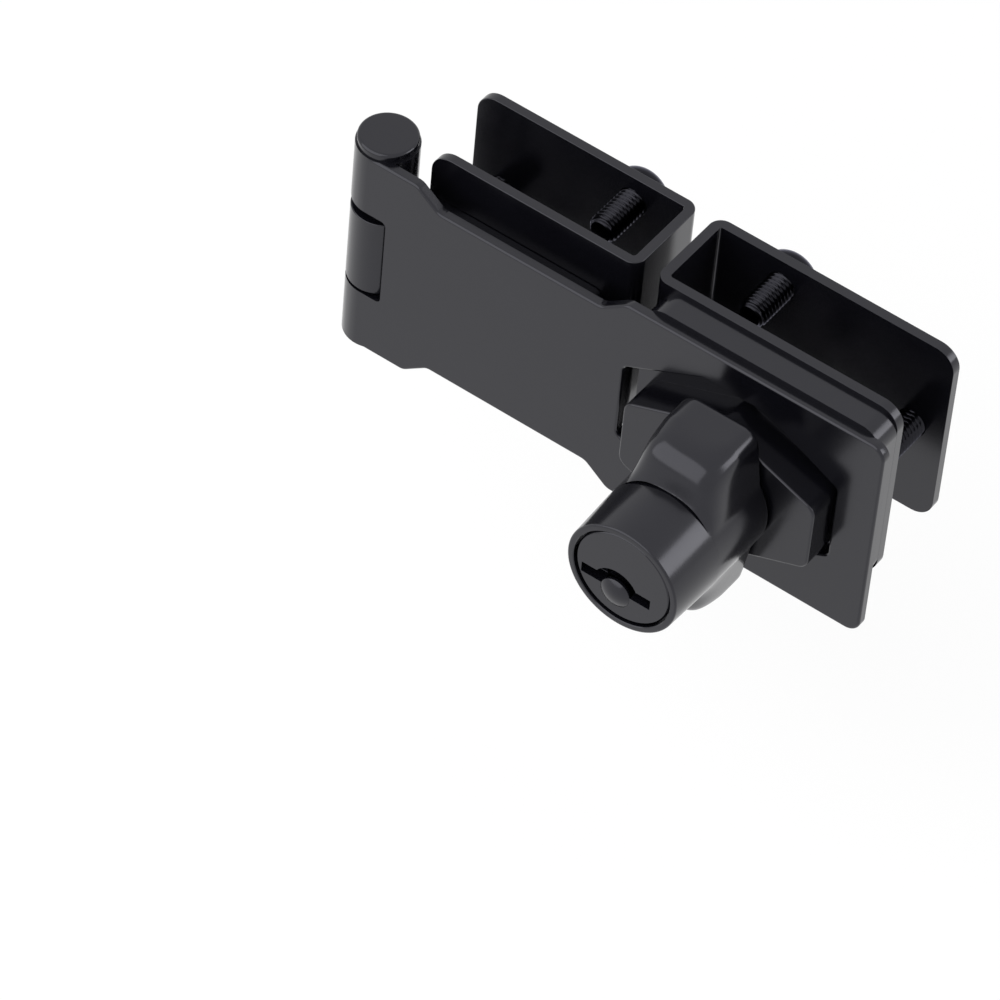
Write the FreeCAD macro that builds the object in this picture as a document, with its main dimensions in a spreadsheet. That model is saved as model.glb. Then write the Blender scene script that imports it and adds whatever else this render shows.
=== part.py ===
"""Hasp lock for two glass doors: a hinged hasp, two U clamps and a twist knob with a key plug.

Sizes are millimetres. Sketches are drawn from the hinge: X runs from the hinge axis to the lock,
Y from the hasp's front face to the back, and Z up from the middle of the hasp. Each piece is then
placed so that the row's origin lies in the middle of the right clamp's glass seat.
"""
import FreeCAD, Part
import math
import os
import re

import Sketcher

# Driving sizes
SIZES = {
    # hasp plate
    "plate_thickness": 1.6,
    "head_half": 20.0,
    "neck_step": 3.25,
    "collar_end": 9.1,
    "neck_start": 13.4,
    "neck_end": 43.0,
    "head_start": 47.3,
    "head_rim": 7.0,
    "head_round": 2.4,
    "shoulder_round": 2.0,
    "plate_edge_round": 0.45,
    "slot_shift": 1.7,
    "slot_half_length": 19.2,
    "slot_tip_half": 7.2,
    "slot_flat_half": 14.2,
    "slot_flat_reach": 5.4,
    "slot_round": 1.2,
    # hinge
    "barrel_radius": 5.0,
    "notch_half": 8.3,
    "notch_gap": 0.35,
    "knuckle_gap": 0.5,
    "pin_radius": 2.5,
    "pin_clearance": 0.05,
    "pin_cap_radius": 4.75,
    "pin_cap_height": 1.45,
    "pin_cap_round": 0.5,
    "pin_tail": 0.4,
    "hinge_plate_wall": 3.6,
    "hinge_plate_start": 7.0,
    "hinge_plate_end": 40.0,
    "hinge_plate_half": 13.0,
    "hinge_plate_round": 2.0,
    # clamps
    "clamp_front": 6.0,
    "leaf_wall": 1.65,
    "mouth_gap": 13.1,
    "clamp_bottom": -13.5,
    "clamp_top": 21.7,
    "left_front_edge": 7.4,
    "left_back_edge": 5.1,
    "left_web": 44.9,
    "web_spacing": 3.1,
    "right_clamp_length": 43.7,
    "clamp_round": 3.6,
    "bend_round": 2.2,
    "inner_bend_round": 0.5,
    # clamp screws
    "screw_radius": 2.45,
    "screw_clearance": 0.05,
    "screw_length": 10.0,
    "screw_head_radius": 4.7,
    "screw_head_height": 2.75,
    "screw_head_round": 2.2,
    "screw_head_gap": 0.1,
    "screw_tip_chamfer": 0.5,
    "socket_radius": 1.73,
    "socket_depth": 1.6,
    "left_web_inset": 11.0,
    "right_web_inset": 13.0,
    "open_inset": 5.7,
    "screw_rise": 12.5,
    # countersunk screws of the hinge leaf and of the lock base
    "flush_radius": 1.45,
    "flush_head_radius": 2.9,
    "flush_length": 4.4,
    "flush_clearance": 0.05,
    "leaf_screw_inset": 7.0,
    "leaf_screw_rise": 7.5,
    "base_screw_inset": 6.0,
    "base_screw_rise": 11.5,
    # lock base with its boss
    "lock_axis": 68.9,
    "base_inset": 1.8,
    "base_step": 0.75,
    "base_edge_round": 0.3,
    "boss_rise": 5.0,
    "boss_half_length": 17.1,
    "boss_tip_half": 6.2,
    "boss_apex_half": 13.1,
    "boss_round": 2.2,
    "boss_edge_round": 0.35,
    "cavity_depth": 3.5,
    "cavity_gap": 0.2,
    # spindle, its washer and its screws
    "spindle_radius": 4.5,
    "spindle_clearance": 0.05,
    "flange_radius": 8.6,
    "flange_wall": 2.15,
    "flange_gap": 0.1,
    "flange_bar_half": 3.4,
    "flange_bar_reach": 14.2,
    "spindle_screw_reach": 11.8,
    "spindle_screw_radius": 1.2,
    "spindle_screw_head": 2.3,
    "spindle_screw_length": 7.0,
    "screw_end_gap": 0.25,
    "head_rim_share": 0.6,
    "head_crown_share": 0.8,
    "washer_radius": 7.0,
    "washer_wall": 1.0,
    "washer_gap": 0.1,
    "washer_tab_reach": 8.4,
    "washer_tab_half": 1.5,
    "retainer_radius": 1.95,
    "retainer_length": 7.0,
    "retainer_head_radius": 3.5,
    "retainer_head_height": 1.9,
    # knob
    "knob_gap": 0.3,
    "grip_length": 13.3,
    "wing_reach": 16.4,
    "wing_tip_half": 6.5,
    "wing_root_half": 9.0,
    "wing_set_back": 1.8,
    "wing_round": 2.8,
    "wing_front_round": 2.6,
    "wing_blend": 3.0,
    "wing_back_round": 0.6,
    "nose_length": 10.25,
    "nose_radius": 9.7,
    "nose_root_radius": 10.05,
    "nose_edge_round": 0.35,
    "rim_radius": 8.6,
    "rim_depth": 1.5,
    "web_hole_radius": 4.6,
    "knob_web_wall": 1.2,
    "cam_room": 5.9,
    # plug with its wafers
    "plug_radius": 8.0,
    "plug_clearance": 0.06,
    "plug_face_radius": 8.35,
    "plug_face_wall": 1.2,
    "plug_set_back": 0.3,
    "plug_face_round": 0.3,
    "plug_end_gap": 0.1,
    "plug_neck_radius": 4.5,
    "plug_neck_extra": 0.15,
    "keyway_left": 7.15,
    "keyway_right": 5.1,
    "keyway_low": 3.35,
    "keyway_high": 1.4,
    "keyway_face_depth": 2.2,
    "keyway_inner_half": 3.9,
    "keyway_depth": 11.0,
    "keyway_arc_radius": 4.0,
    "dome_side": 1.0,
    "dome_drop": 3.9,
    "dome_radius": 2.6,
    "dome_rise": 0.8,
    "dome_edge_round": 0.75,
    "wafer_half": 5.1,
    "wafer_wall": 0.9,
    "wafer_low": 5.0,
    "wafer_clearance": 0.05,
    "wafer_pitch": 2.2,
    "wafer_first": 3.1,
    "wafer_travel": 0.7,
    "wafer_window_high": 0.55,
    "wafer_window_low": 4.3,
    "groove_gap": 0.2,
    "leaf_spring_wall": 0.2,
    "leaf_spring_half": 4.0,
    "leaf_spring_room": 0.9,
    "leaf_spring_bow": 0.35,
    # cam and lock pin
    "cam_radius": 7.6,
    "cam_wall": 1.2,
    "cam_hub_radius": 5.0,
    "ramp_rise": 2.1,
    "ramp_start": 4.8,
    "cam_screw_radius": 1.45,
    "cam_screw_length": 4.2,
    "cam_screw_head": 2.6,
    "cam_screw_head_height": 1.4,
    "pin_offset": 6.4,
    "lock_pin_radius": 1.0,
    "lock_pin_clearance": 0.1,
    "lock_pin_head": 1.5,
    "lock_pin_head_wall": 0.8,
    "lock_pin_gap": 0.2,
    "lock_pin_set_back": 0.4,
    "lock_pin_hole_depth": 3.5,
    "pin_spring_radius": 1.3,
    "pin_spring_wire": 0.26,
    "pin_spring_turns": 2.5,
    "pin_spring_length": 1.05,
    # cuts run past the solid by this much
    "cut_past": 1.0,
}

WAFER_COUNT = 4

# The ramp's corners on the cam: which radius each lies on, and its angle in degrees from the left
RAMP_CORNERS = [
    ("cam_radius", 8),
    ("cam_hub_radius", 0),
    ("cam_hub_radius", 30),
    ("cam_hub_radius", 60),
    ("cam_radius", 50),
    ("cam_radius", 25),
]

doc = FreeCAD.newDocument("cabinet_lock")
sheet = doc.addObject("Spreadsheet::Sheet", "sizes")
for row, (alias, number) in enumerate(SIZES.items(), start=1):
    sheet.set("A%d" % row, alias.replace("_", " "))
    sheet.set("B%d" % row, str(number))
    sheet.setAlias("B%d" % row, alias)
doc.recompute()

# Places that several pieces share, as sheet expressions
NECK_HALF = "(head_half - neck_step)"
SLOT_MIDDLE = "(lock_axis - slot_shift)"
HEAD_END = "(lock_axis - slot_shift + slot_half_length + head_rim)"
CLAMP_BACK = "clamp_front + 2 * leaf_wall + mouth_gap"
SEAT = "clamp_front + leaf_wall"
RIGHT_WEB = "left_web + web_spacing"
RIGHT_OPEN = "left_web + web_spacing + right_clamp_length"
CLAMP_MIDDLE = "(clamp_top + clamp_bottom) / 2"
SEAT_MIDDLE = "left_web + web_spacing + (leaf_wall + right_clamp_length) / 2"
KNOB_BACK = "0 - boss_rise - knob_gap"
GRIP_FRONT = KNOB_BACK + " - grip_length"
NOSE_FRONT = GRIP_FRONT + " - nose_length"
CAVITY_FLOOR = "clamp_front - cavity_depth"
FLANGE_FRONT = KNOB_BACK + " - flange_wall"
WEB_BACK = FLANGE_FRONT + " - cam_room"
WEB_FRONT = WEB_BACK + " - knob_web_wall"
PLUG_FACE = NOSE_FRONT + " + plug_set_back"
PLUG_END = WEB_FRONT + " - plug_end_gap"
CAM_FRONT = WEB_BACK + " + plug_neck_extra"
CAM_BACK = CAM_FRONT + " + cam_wall"
PIN_HEAD_FRONT = CAM_BACK + " + lock_pin_gap"
KNUCKLE_HALF = "notch_half - knuckle_gap"
NOTCH_END = "sqrt(barrel_radius ^ 2 - (barrel_radius - plate_thickness) ^ 2) + notch_gap"


def on_sheet(text):
    """Returns the expression with every size named as a cell of the sheet."""
    return re.sub(r"\b([a-z]+(?:_[a-z]+)+)\b", r"sizes.\1", text)


def bind(thing, prop, text):
    """Ties one property of an object to an expression on the sheet."""
    thing.setExpression(prop, on_sheet(text))


def new_body(label, across="0", back="0", up="0"):
    """Makes a body whose own origin lies at the given point of the hinge frame."""
    body = doc.addObject("PartDesign::Body", label)
    body.Label = label
    bind(body, "Placement.Base.x", "%s - (%s)" % (across, SEAT_MIDDLE))
    bind(body, "Placement.Base.y", "%s - (%s)" % (back, SEAT))
    bind(body, "Placement.Base.z", "%s - %s" % (up, CLAMP_MIDDLE))
    return body


def sketch_on(body, name, role, offset="0"):
    """Starts a sketch on one of the body's own planes, moved along the plane's normal."""
    support = [item for item in body.Origin.OriginFeatures if item.Role == role][0]
    sketch = body.newObject("Sketcher::SketchObject", name)
    sketch.AttachmentSupport = [(support, "")]
    sketch.MapMode = "FlatFace"
    bind(sketch, "AttachmentOffset.Base.z", offset)
    return sketch


def front_sketch(body, name, back="0"):
    """Starts a sketch seen from the front, X across and Z up, at a place along Y."""
    return sketch_on(body, name, "XZ_Plane", "0 - (%s)" % back)


def hold(sketch, kind, parts, text):
    """Adds one driving constraint and ties it to the sheet."""
    index = sketch.addConstraint(Sketcher.Constraint(kind, *parts, 1.0))
    bind(sketch, "Constraints[%d]" % index, text)


def pin_point(sketch, line, end, across, up):
    """Holds one point of a sketch at two sheet expressions, measured from the sketch's origin."""
    hold(sketch, "DistanceX", (-1, 1, line, end), across)
    hold(sketch, "DistanceY", (-1, 1, line, end), up)


def outline(sketch, points):
    """Draws a closed outline of straight lines through points given as pairs of expressions."""
    first = sketch.GeometryCount
    count = len(points)
    rough = []
    for index in range(count):
        turn = 2 * math.pi * index / count
        rough.append(FreeCAD.Vector(10 * math.cos(turn), 10 * math.sin(turn), 0))
    for index in range(count):
        sketch.addGeometry(Part.LineSegment(rough[index], rough[(index + 1) % count]), False)
    for index in range(count):
        following = first + (index + 1) % count
        sketch.addConstraint(Sketcher.Constraint("Coincident", first + index, 2, following, 1))
    for index, (across, up) in enumerate(points):
        pin_point(sketch, first + index, 1, across, up)


def rectangle(sketch, left, right, low, high):
    """Draws a rectangle between four expressions."""
    outline(sketch, [(left, low), (right, low), (right, high), (left, high)])


def circle(sketch, across, up, radius):
    """Draws a circle at a point given by expressions."""
    index = sketch.addGeometry(Part.Circle(FreeCAD.Vector(0, 0, 0), FreeCAD.Vector(0, 0, 1), 3), False)
    pin_point(sketch, index, 3, across, up)
    hold(sketch, "Radius", (index,), radius)


def half_disc(sketch, across, up, radius):
    """Draws the upper half of a disc, closed by its diameter."""
    arc = sketch.addGeometry(
        Part.ArcOfCircle(Part.Circle(FreeCAD.Vector(0, 0, 0), FreeCAD.Vector(0, 0, 1), 4), 0, math.pi), False
    )
    base = sketch.addGeometry(Part.LineSegment(FreeCAD.Vector(-4, 0, 0), FreeCAD.Vector(4, 0, 0)), False)
    sketch.addConstraint(Sketcher.Constraint("Coincident", arc, 1, base, 2))
    sketch.addConstraint(Sketcher.Constraint("Coincident", arc, 2, base, 1))
    sketch.addConstraint(Sketcher.Constraint("PointOnObject", arc, 3, base))
    sketch.addConstraint(Sketcher.Constraint("Horizontal", base))
    pin_point(sketch, arc, 3, across, up)
    hold(sketch, "Radius", (arc,), radius)


def arched_plate(sketch, half, low, radius):
    """Draws a plate outline with a flat foot, straight sides and an arc about the origin on top."""
    side = math.acos(5.1 / 7.95)
    arc = sketch.addGeometry(
        Part.ArcOfCircle(Part.Circle(FreeCAD.Vector(0, 0, 0), FreeCAD.Vector(0, 0, 1), 7.95), side, math.pi - side),
        False,
    )
    corners = [(-5.1, 6.1), (-5.1, -5.0), (5.1, -5.0), (5.1, 6.1)]
    lines = []
    for start, end in zip(corners, corners[1:]):
        lines.append(
            sketch.addGeometry(Part.LineSegment(FreeCAD.Vector(*start, 0), FreeCAD.Vector(*end, 0)), False)
        )
    sketch.addConstraint(Sketcher.Constraint("Coincident", arc, 3, -1, 1))
    sketch.addConstraint(Sketcher.Constraint("Coincident", arc, 2, lines[0], 1))
    sketch.addConstraint(Sketcher.Constraint("Coincident", lines[0], 2, lines[1], 1))
    sketch.addConstraint(Sketcher.Constraint("Coincident", lines[1], 2, lines[2], 1))
    sketch.addConstraint(Sketcher.Constraint("Coincident", lines[2], 2, arc, 1))
    sketch.addConstraint(Sketcher.Constraint("Vertical", lines[0]))
    sketch.addConstraint(Sketcher.Constraint("Vertical", lines[2]))
    hold(sketch, "Radius", (arc,), radius)
    pin_point(sketch, lines[1], 1, "0 - (%s)" % half, low)
    pin_point(sketch, lines[1], 2, half, low)


def pad(body, sketch, length, reverse=True):
    """Adds material over a sketch: towards the back from a front sketch, unless reverse is False."""
    feature = body.newObject("PartDesign::Pad", sketch.Name + "_pad")
    feature.Profile = sketch
    feature.Reversed = reverse
    bind(feature, "Length", length)
    sketch.Visibility = False
    doc.recompute()
    return feature


def pocket(body, sketch, length, reverse=False):
    """Cuts a sketch's shape: towards the back from a front sketch, unless reverse is True."""
    before = body.Tip.Shape.Volume
    feature = body.newObject("PartDesign::Pocket", sketch.Name + "_pocket")
    feature.Profile = sketch
    feature.Reversed = reverse
    bind(feature, "Length", length)
    doc.recompute()
    if not feature.Shape.Volume < before - 1e-6:
        raise ValueError("%s cuts nothing" % feature.Name)
    return feature


def pocket_both_ways(body, sketch, length):
    """Cuts a sketch's shape evenly to both sides of its plane."""
    before = body.Tip.Shape.Volume
    feature = body.newObject("PartDesign::Pocket", sketch.Name + "_pocket")
    feature.Profile = sketch
    feature.Midplane = True
    bind(feature, "Length", length)
    doc.recompute()
    if not feature.Shape.Volume < before - 1e-6:
        raise ValueError("%s cuts nothing" % feature.Name)
    return feature


def turned(body, name, role, points):
    """Adds a turned solid: the outline's first value is a radius, the second a place on the axis."""
    sketch = sketch_on(body, name, role)
    outline(sketch, points)
    feature = body.newObject("PartDesign::Revolution", name + "_turned")
    feature.Profile = sketch
    feature.ReferenceAxis = (sketch, ["V_Axis"])
    feature.Angle = 360
    doc.recompute()
    return feature


def bored(body, name, role, points):
    """Cuts a turned space, drawn as in turned()."""
    before = body.Tip.Shape.Volume
    sketch = sketch_on(body, name, role)
    outline(sketch, points)
    feature = body.newObject("PartDesign::Groove", name + "_bored")
    feature.Profile = sketch
    feature.ReferenceAxis = (sketch, ["V_Axis"])
    feature.Angle = 360
    doc.recompute()
    if not feature.Shape.Volume < before - 1e-6:
        raise ValueError("%s cuts nothing" % feature.Name)
    return feature


def is_along(edge, axis):
    """Tells whether an edge is straight and runs along an axis."""
    if not isinstance(edge.Curve, (Part.Line, Part.LineSegment)):
        return False
    way = edge.tangentAt(edge.FirstParameter)
    return abs(abs(way.dot(axis)) - 1) < 1e-6


def at(edge, **place):
    """Tells whether the middle of an edge's box lies at the given coordinates, such as x=3, z=-2."""
    centre = edge.BoundBox.Center
    return all(abs(getattr(centre, name) - value) < 0.02 for name, value in place.items())


def flat_at(edge, name, value):
    """Tells whether an edge lies all in one plane, such as y=0."""
    box = edge.BoundBox
    low = getattr(box, name.upper() + "Min")
    high = getattr(box, name.upper() + "Max")
    return abs(low - value) < 0.02 and abs(high - value) < 0.02


def fillet(body, name, radius, test):
    """Rounds the edges of the body's last feature that pass a test."""
    base = body.Tip
    picked = ["Edge%d" % number for number, edge in enumerate(base.Shape.Edges, start=1) if test(edge)]
    if not picked:
        raise ValueError("%s finds no edge" % name)
    feature = body.newObject("PartDesign::Fillet", name)
    feature.Base = (base, picked)
    bind(feature, "Radius", radius)
    doc.recompute()
    return feature


X_AXIS = FreeCAD.Vector(1, 0, 0)
Y_AXIS = FreeCAD.Vector(0, 1, 0)
Z_AXIS = FreeCAD.Vector(0, 0, 1)


def make_hasp_plate():
    """The cast hasp: head with its slot, neck, collar and two knuckles round the hinge pin."""
    body = new_body("hasp_plate")
    plate = front_sketch(body, "hasp_outline")
    outline(
        plate,
        [
            ("0", "0 - head_half"),
            ("collar_end", "0 - head_half"),
            ("neck_start", "0 - " + NECK_HALF),
            ("neck_end", "0 - " + NECK_HALF),
            ("head_start", "0 - head_half"),
            (HEAD_END, "0 - head_half"),
            (HEAD_END, "head_half"),
            ("head_start", "head_half"),
            ("neck_end", NECK_HALF),
            ("neck_start", NECK_HALF),
            ("collar_end", "head_half"),
            ("0", "head_half"),
        ],
    )
    pad(body, plate, "plate_thickness")
    neck_half = SIZES["head_half"] - SIZES["neck_step"]
    slot_middle = SIZES["lock_axis"] - SIZES["slot_shift"]
    head_end = slot_middle + SIZES["slot_half_length"] + SIZES["head_rim"]
    corners = [(head_end, SIZES["head_half"]), (SIZES["head_start"], SIZES["head_half"])]
    fillet(
        body,
        "hasp_head_corners",
        "head_round",
        lambda edge: is_along(edge, Y_AXIS)
        and any(at(edge, x=across) and abs(abs(edge.BoundBox.Center.z) - up) < 0.02 for across, up in corners),
    )
    shoulders = [
        (SIZES["collar_end"], SIZES["head_half"]),
        (SIZES["neck_start"], neck_half),
        (SIZES["neck_end"], neck_half),
    ]
    fillet(
        body,
        "hasp_shoulders",
        "shoulder_round",
        lambda edge: is_along(edge, Y_AXIS)
        and any(at(edge, x=across) and abs(abs(edge.BoundBox.Center.z) - up) < 0.02 for across, up in shoulders),
    )
    slot = front_sketch(body, "hasp_slot", "0 - barrel_radius")
    outline(
        slot,
        [
            (SLOT_MIDDLE + " - slot_half_length", "0 - slot_tip_half"),
            (SLOT_MIDDLE + " - slot_flat_reach", "0 - slot_flat_half"),
            (SLOT_MIDDLE + " + slot_flat_reach", "0 - slot_flat_half"),
            (SLOT_MIDDLE + " + slot_half_length", "0 - slot_tip_half"),
            (SLOT_MIDDLE + " + slot_half_length", "slot_tip_half"),
            (SLOT_MIDDLE + " + slot_flat_reach", "slot_flat_half"),
            (SLOT_MIDDLE + " - slot_flat_reach", "slot_flat_half"),
            (SLOT_MIDDLE + " - slot_half_length", "slot_tip_half"),
        ],
    )
    pocket(body, slot, "4 * barrel_radius")
    slot_left = slot_middle - SIZES["slot_half_length"]
    slot_right = slot_middle + SIZES["slot_half_length"]
    fillet(
        body,
        "hasp_slot_corners",
        "slot_round",
        lambda edge: is_along(edge, Y_AXIS)
        and slot_left - 0.1 < edge.BoundBox.Center.x < slot_right + 0.1
        and abs(edge.BoundBox.Center.z) < SIZES["slot_flat_half"] + 0.1,
    )
    fillet(
        body,
        "hasp_front_edges",
        "plate_edge_round",
        lambda edge: flat_at(edge, "y", 0) and edge.BoundBox.XMax > SIZES["barrel_radius"],
    )
    barrel = sketch_on(body, "hasp_barrel", "XY_Plane", "0 - head_half")
    circle(barrel, "0", "barrel_radius", "barrel_radius")
    pad(body, barrel, "2 * head_half", reverse=False)
    notch = front_sketch(body, "hasp_notch", "0 - barrel_radius")
    rectangle(notch, "0 - 2 * barrel_radius", NOTCH_END, "0 - notch_half", "notch_half")
    pocket(body, notch, "4 * barrel_radius")
    knuckle_room = front_sketch(body, "hasp_knuckle_room", "plate_thickness")
    rectangle(knuckle_room, "0 - 2 * barrel_radius", "barrel_radius + notch_gap", "0 - notch_half", "notch_half")
    pocket(body, knuckle_room, "4 * barrel_radius")
    bore = sketch_on(body, "hasp_pin_bore", "XY_Plane", "0 - 2 * head_half")
    circle(bore, "0", "barrel_radius", "pin_radius + pin_clearance")
    pocket(body, bore, "4 * head_half", reverse=True)
    return body


def make_hinge_pin():
    """The turned hinge pin: a straight shank with a flat round cap over the upper knuckle."""
    body = new_body("hinge_pin", back="barrel_radius")
    turned(
        body,
        "pin_profile",
        "XZ_Plane",
        [
            ("0", "0 - head_half - pin_tail"),
            ("pin_radius", "0 - head_half - pin_tail"),
            ("pin_radius", "head_half"),
            ("pin_cap_radius", "head_half"),
            ("pin_cap_radius", "head_half + pin_cap_height"),
            ("0", "head_half + pin_cap_height"),
        ],
    )
    cap_top = SIZES["head_half"] + SIZES["pin_cap_height"]
    fillet(body, "pin_cap_edge", "pin_cap_round", lambda edge: flat_at(edge, "z", cap_top))
    return body


def make_hinge_leaf():
    """The fixed half of the hinge: the middle knuckle and its plate on the left clamp."""
    body = new_body("hinge_leaf")
    plate = front_sketch(body, "leaf_outline", "clamp_front - hinge_plate_wall")
    outline(
        plate,
        [
            ("0", "0 - (%s)" % KNUCKLE_HALF),
            ("hinge_plate_start", "0 - (%s)" % KNUCKLE_HALF),
            ("hinge_plate_start", "0 - hinge_plate_half"),
            ("hinge_plate_end", "0 - hinge_plate_half"),
            ("hinge_plate_end", "hinge_plate_half"),
            ("hinge_plate_start", "hinge_plate_half"),
            ("hinge_plate_start", KNUCKLE_HALF),
            ("0", KNUCKLE_HALF),
        ],
    )
    pad(body, plate, "hinge_plate_wall")
    fillet(
        body,
        "leaf_corners",
        "hinge_plate_round",
        lambda edge: is_along(edge, Y_AXIS)
        and abs(abs(edge.BoundBox.Center.z) - SIZES["hinge_plate_half"]) < 0.02,
    )
    knuckle = sketch_on(body, "leaf_knuckle", "XY_Plane", "0 - (%s)" % KNUCKLE_HALF)
    circle(knuckle, "0", "barrel_radius", "barrel_radius")
    pad(body, knuckle, "2 * (%s)" % KNUCKLE_HALF, reverse=False)
    bore = sketch_on(body, "leaf_pin_bore", "XY_Plane", "0 - head_half")
    circle(bore, "0", "barrel_radius", "pin_radius + pin_clearance")
    pocket(body, bore, "2 * head_half", reverse=True)
    holes = front_sketch(body, "leaf_screw_holes", "clamp_front - flush_length + leaf_wall")
    for across, up in leaf_screw_places():
        circle(holes, across, up, "flush_radius + flush_clearance")
    pocket(body, holes, "flush_length")
    return body


def leaf_screw_places():
    """Where the four screws of the hinge leaf stand."""
    places = []
    for across in ("hinge_plate_start + leaf_screw_inset", "hinge_plate_end - leaf_screw_inset"):
        for up in ("0 - leaf_screw_rise", "leaf_screw_rise"):
            places.append((across, up))
    return places


def base_screw_places():
    """Where the four screws of the lock base stand."""
    places = []
    for across in (RIGHT_WEB + " + base_inset + base_screw_inset", RIGHT_OPEN + " - base_screw_inset"):
        for up in (CLAMP_MIDDLE + " - base_screw_rise", CLAMP_MIDDLE + " + base_screw_rise"):
            places.append((across, up))
    return places


def clamp_screw_places(side):
    """Where the three clamp screws of one side stand: top, bottom and near the open edge."""
    if side == "left":
        near_web = "left_web - left_web_inset"
        near_edge = "left_back_edge + open_inset"
    else:
        near_web = RIGHT_WEB + " + right_web_inset"
        near_edge = RIGHT_OPEN + " - open_inset"
    return {
        "top": (near_web, CLAMP_MIDDLE + " + screw_rise"),
        "bottom": (near_web, CLAMP_MIDDLE + " - screw_rise"),
        "side": (near_edge, CLAMP_MIDDLE),
    }


def make_clamp(side):
    """A cast U clamp: two leaves joined by a web, open towards the door's middle."""
    body = new_body(side + "_clamp")
    profile = sketch_on(body, side + "_clamp_profile", "XY_Plane", "clamp_bottom")
    if side == "left":
        web, inner = "left_web", "left_web - leaf_wall"
        front_edge, back_edge = "left_front_edge", "left_back_edge"
        flush_places = leaf_screw_places()
    else:
        web, inner = RIGHT_WEB, RIGHT_WEB + " + leaf_wall"
        front_edge, back_edge = RIGHT_OPEN, RIGHT_OPEN
        flush_places = base_screw_places()
    outline(
        profile,
        [
            (front_edge, "clamp_front"),
            (web, "clamp_front"),
            (web, CLAMP_BACK),
            (back_edge, CLAMP_BACK),
            (back_edge, CLAMP_BACK + " - leaf_wall"),
            (inner, CLAMP_BACK + " - leaf_wall"),
            (inner, SEAT),
            (front_edge, SEAT),
        ],
    )
    pad(body, profile, "clamp_top - clamp_bottom", reverse=False)
    web_x = SIZES["left_web"] + (SIZES["web_spacing"] if side == "right" else 0)
    inner_x = web_x + (SIZES["leaf_wall"] if side == "right" else -SIZES["leaf_wall"])
    fillet(body, side + "_bends", "bend_round", lambda edge: is_along(edge, Z_AXIS) and at(edge, x=web_x))
    fillet(
        body,
        side + "_inner_bends",
        "inner_bend_round",
        lambda edge: is_along(edge, Z_AXIS) and at(edge, x=inner_x),
    )
    heights = (SIZES["clamp_top"], SIZES["clamp_bottom"])
    fillet(
        body,
        side + "_leaf_corners",
        "clamp_round",
        lambda edge: is_along(edge, Y_AXIS)
        and any(at(edge, z=up) for up in heights)
        and abs(edge.BoundBox.Center.x - web_x) > SIZES["bend_round"] + 1,
    )
    holes = front_sketch(body, side + "_screw_holes", SEAT + " + mouth_gap / 2")
    for across, up in clamp_screw_places(side).values():
        circle(holes, across, up, "screw_radius + screw_clearance")
    pocket(body, holes, "mouth_gap")
    sinks = front_sketch(body, side + "_flush_holes", "clamp_front - leaf_wall")
    for across, up in flush_places:
        circle(sinks, across, up, "flush_radius + flush_clearance")
    pocket(body, sinks, "2 * leaf_wall")
    for number, (across, up) in enumerate(flush_places, start=1):
        sink_cone(body, "%s_sink_%d" % (side, number), across, up, SEAT, "leaf_wall")
    return body


def sink_cone(body, name, across, up, face, depth):
    """Cuts one countersink into a body, wide at the given face and narrow towards the front."""
    before = body.Tip.Shape.Volume
    cone = body.newObject("PartDesign::SubtractiveCone", name)
    cone.AttachmentSupport = [([item for item in body.Origin.OriginFeatures if item.Role == "XZ_Plane"][0], "")]
    cone.MapMode = "FlatFace"
    bind(cone, "AttachmentOffset.Base.x", across)
    bind(cone, "AttachmentOffset.Base.y", up)
    bind(cone, "AttachmentOffset.Base.z", "0 - (%s)" % face)
    bind(cone, "Radius1", "flush_head_radius + flush_clearance")
    bind(cone, "Radius2", "flush_radius + flush_clearance")
    bind(cone, "Height", depth)
    doc.recompute()
    if not cone.Shape.Volume < before - 1e-6:
        raise ValueError("%s cuts nothing" % name)


def make_clamp_screw(side, place):
    """A button-head screw with a hexagon socket; its head bears on the back leaf."""
    across, up = clamp_screw_places(side)[place]
    body = new_body("%s_screw_%s" % (side, place), across=across, up=up)
    name = "%s_%s_screw" % (side, place)
    under_head = CLAMP_BACK + " + screw_head_gap"
    turned(
        body,
        name,
        "XY_Plane",
        [
            ("0", under_head + " - screw_length"),
            ("screw_radius - screw_tip_chamfer", under_head + " - screw_length"),
            ("screw_radius", under_head + " - screw_length + screw_tip_chamfer"),
            ("screw_radius", under_head),
            ("screw_head_radius", under_head),
            ("screw_head_radius", under_head + " + screw_head_height"),
            ("0", under_head + " + screw_head_height"),
        ],
    )
    crown = clamp_back_value() + SIZES["screw_head_gap"] + SIZES["screw_head_height"]
    fillet(body, name + "_crown", "screw_head_round", lambda edge: flat_at(edge, "y", crown))
    socket = front_sketch(body, name + "_socket", under_head + " + screw_head_height - socket_depth")
    hexagon = []
    for corner in range(6):
        turn = 60 * corner
        hexagon.append(("socket_radius * cos(%d deg)" % turn, "socket_radius * sin(%d deg)" % turn))
    outline(socket, hexagon)
    pocket(body, socket, "2 * socket_depth")
    return body


def clamp_back_value():
    """The back face of the clamps, as a number for picking edges."""
    return SIZES["clamp_front"] + 2 * SIZES["leaf_wall"] + SIZES["mouth_gap"]


def make_flush_screws(label, places):
    """A set of countersunk screws, heads flush with the clamp's seat."""
    solids = []
    for number, (across, up) in enumerate(places, start=1):
        body = new_body("%s_%d" % (label, number), across=across, up=up)
        turned(
            body,
            "%s_profile_%d" % (label, number),
            "XY_Plane",
            [
                ("0", SEAT + " - flush_length"),
                ("flush_radius", SEAT + " - flush_length"),
                ("flush_radius", "clamp_front"),
                ("flush_head_radius", SEAT),
                ("0", SEAT),
            ],
        )
        solids.append(body)
    return gather(label, solids)


def gather(label, solids):
    """Keeps several separate solids as one set under one name."""
    group = doc.addObject("Part::Compound", label)
    group.Label = label
    group.Links = solids
    doc.recompute()
    return group


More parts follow.
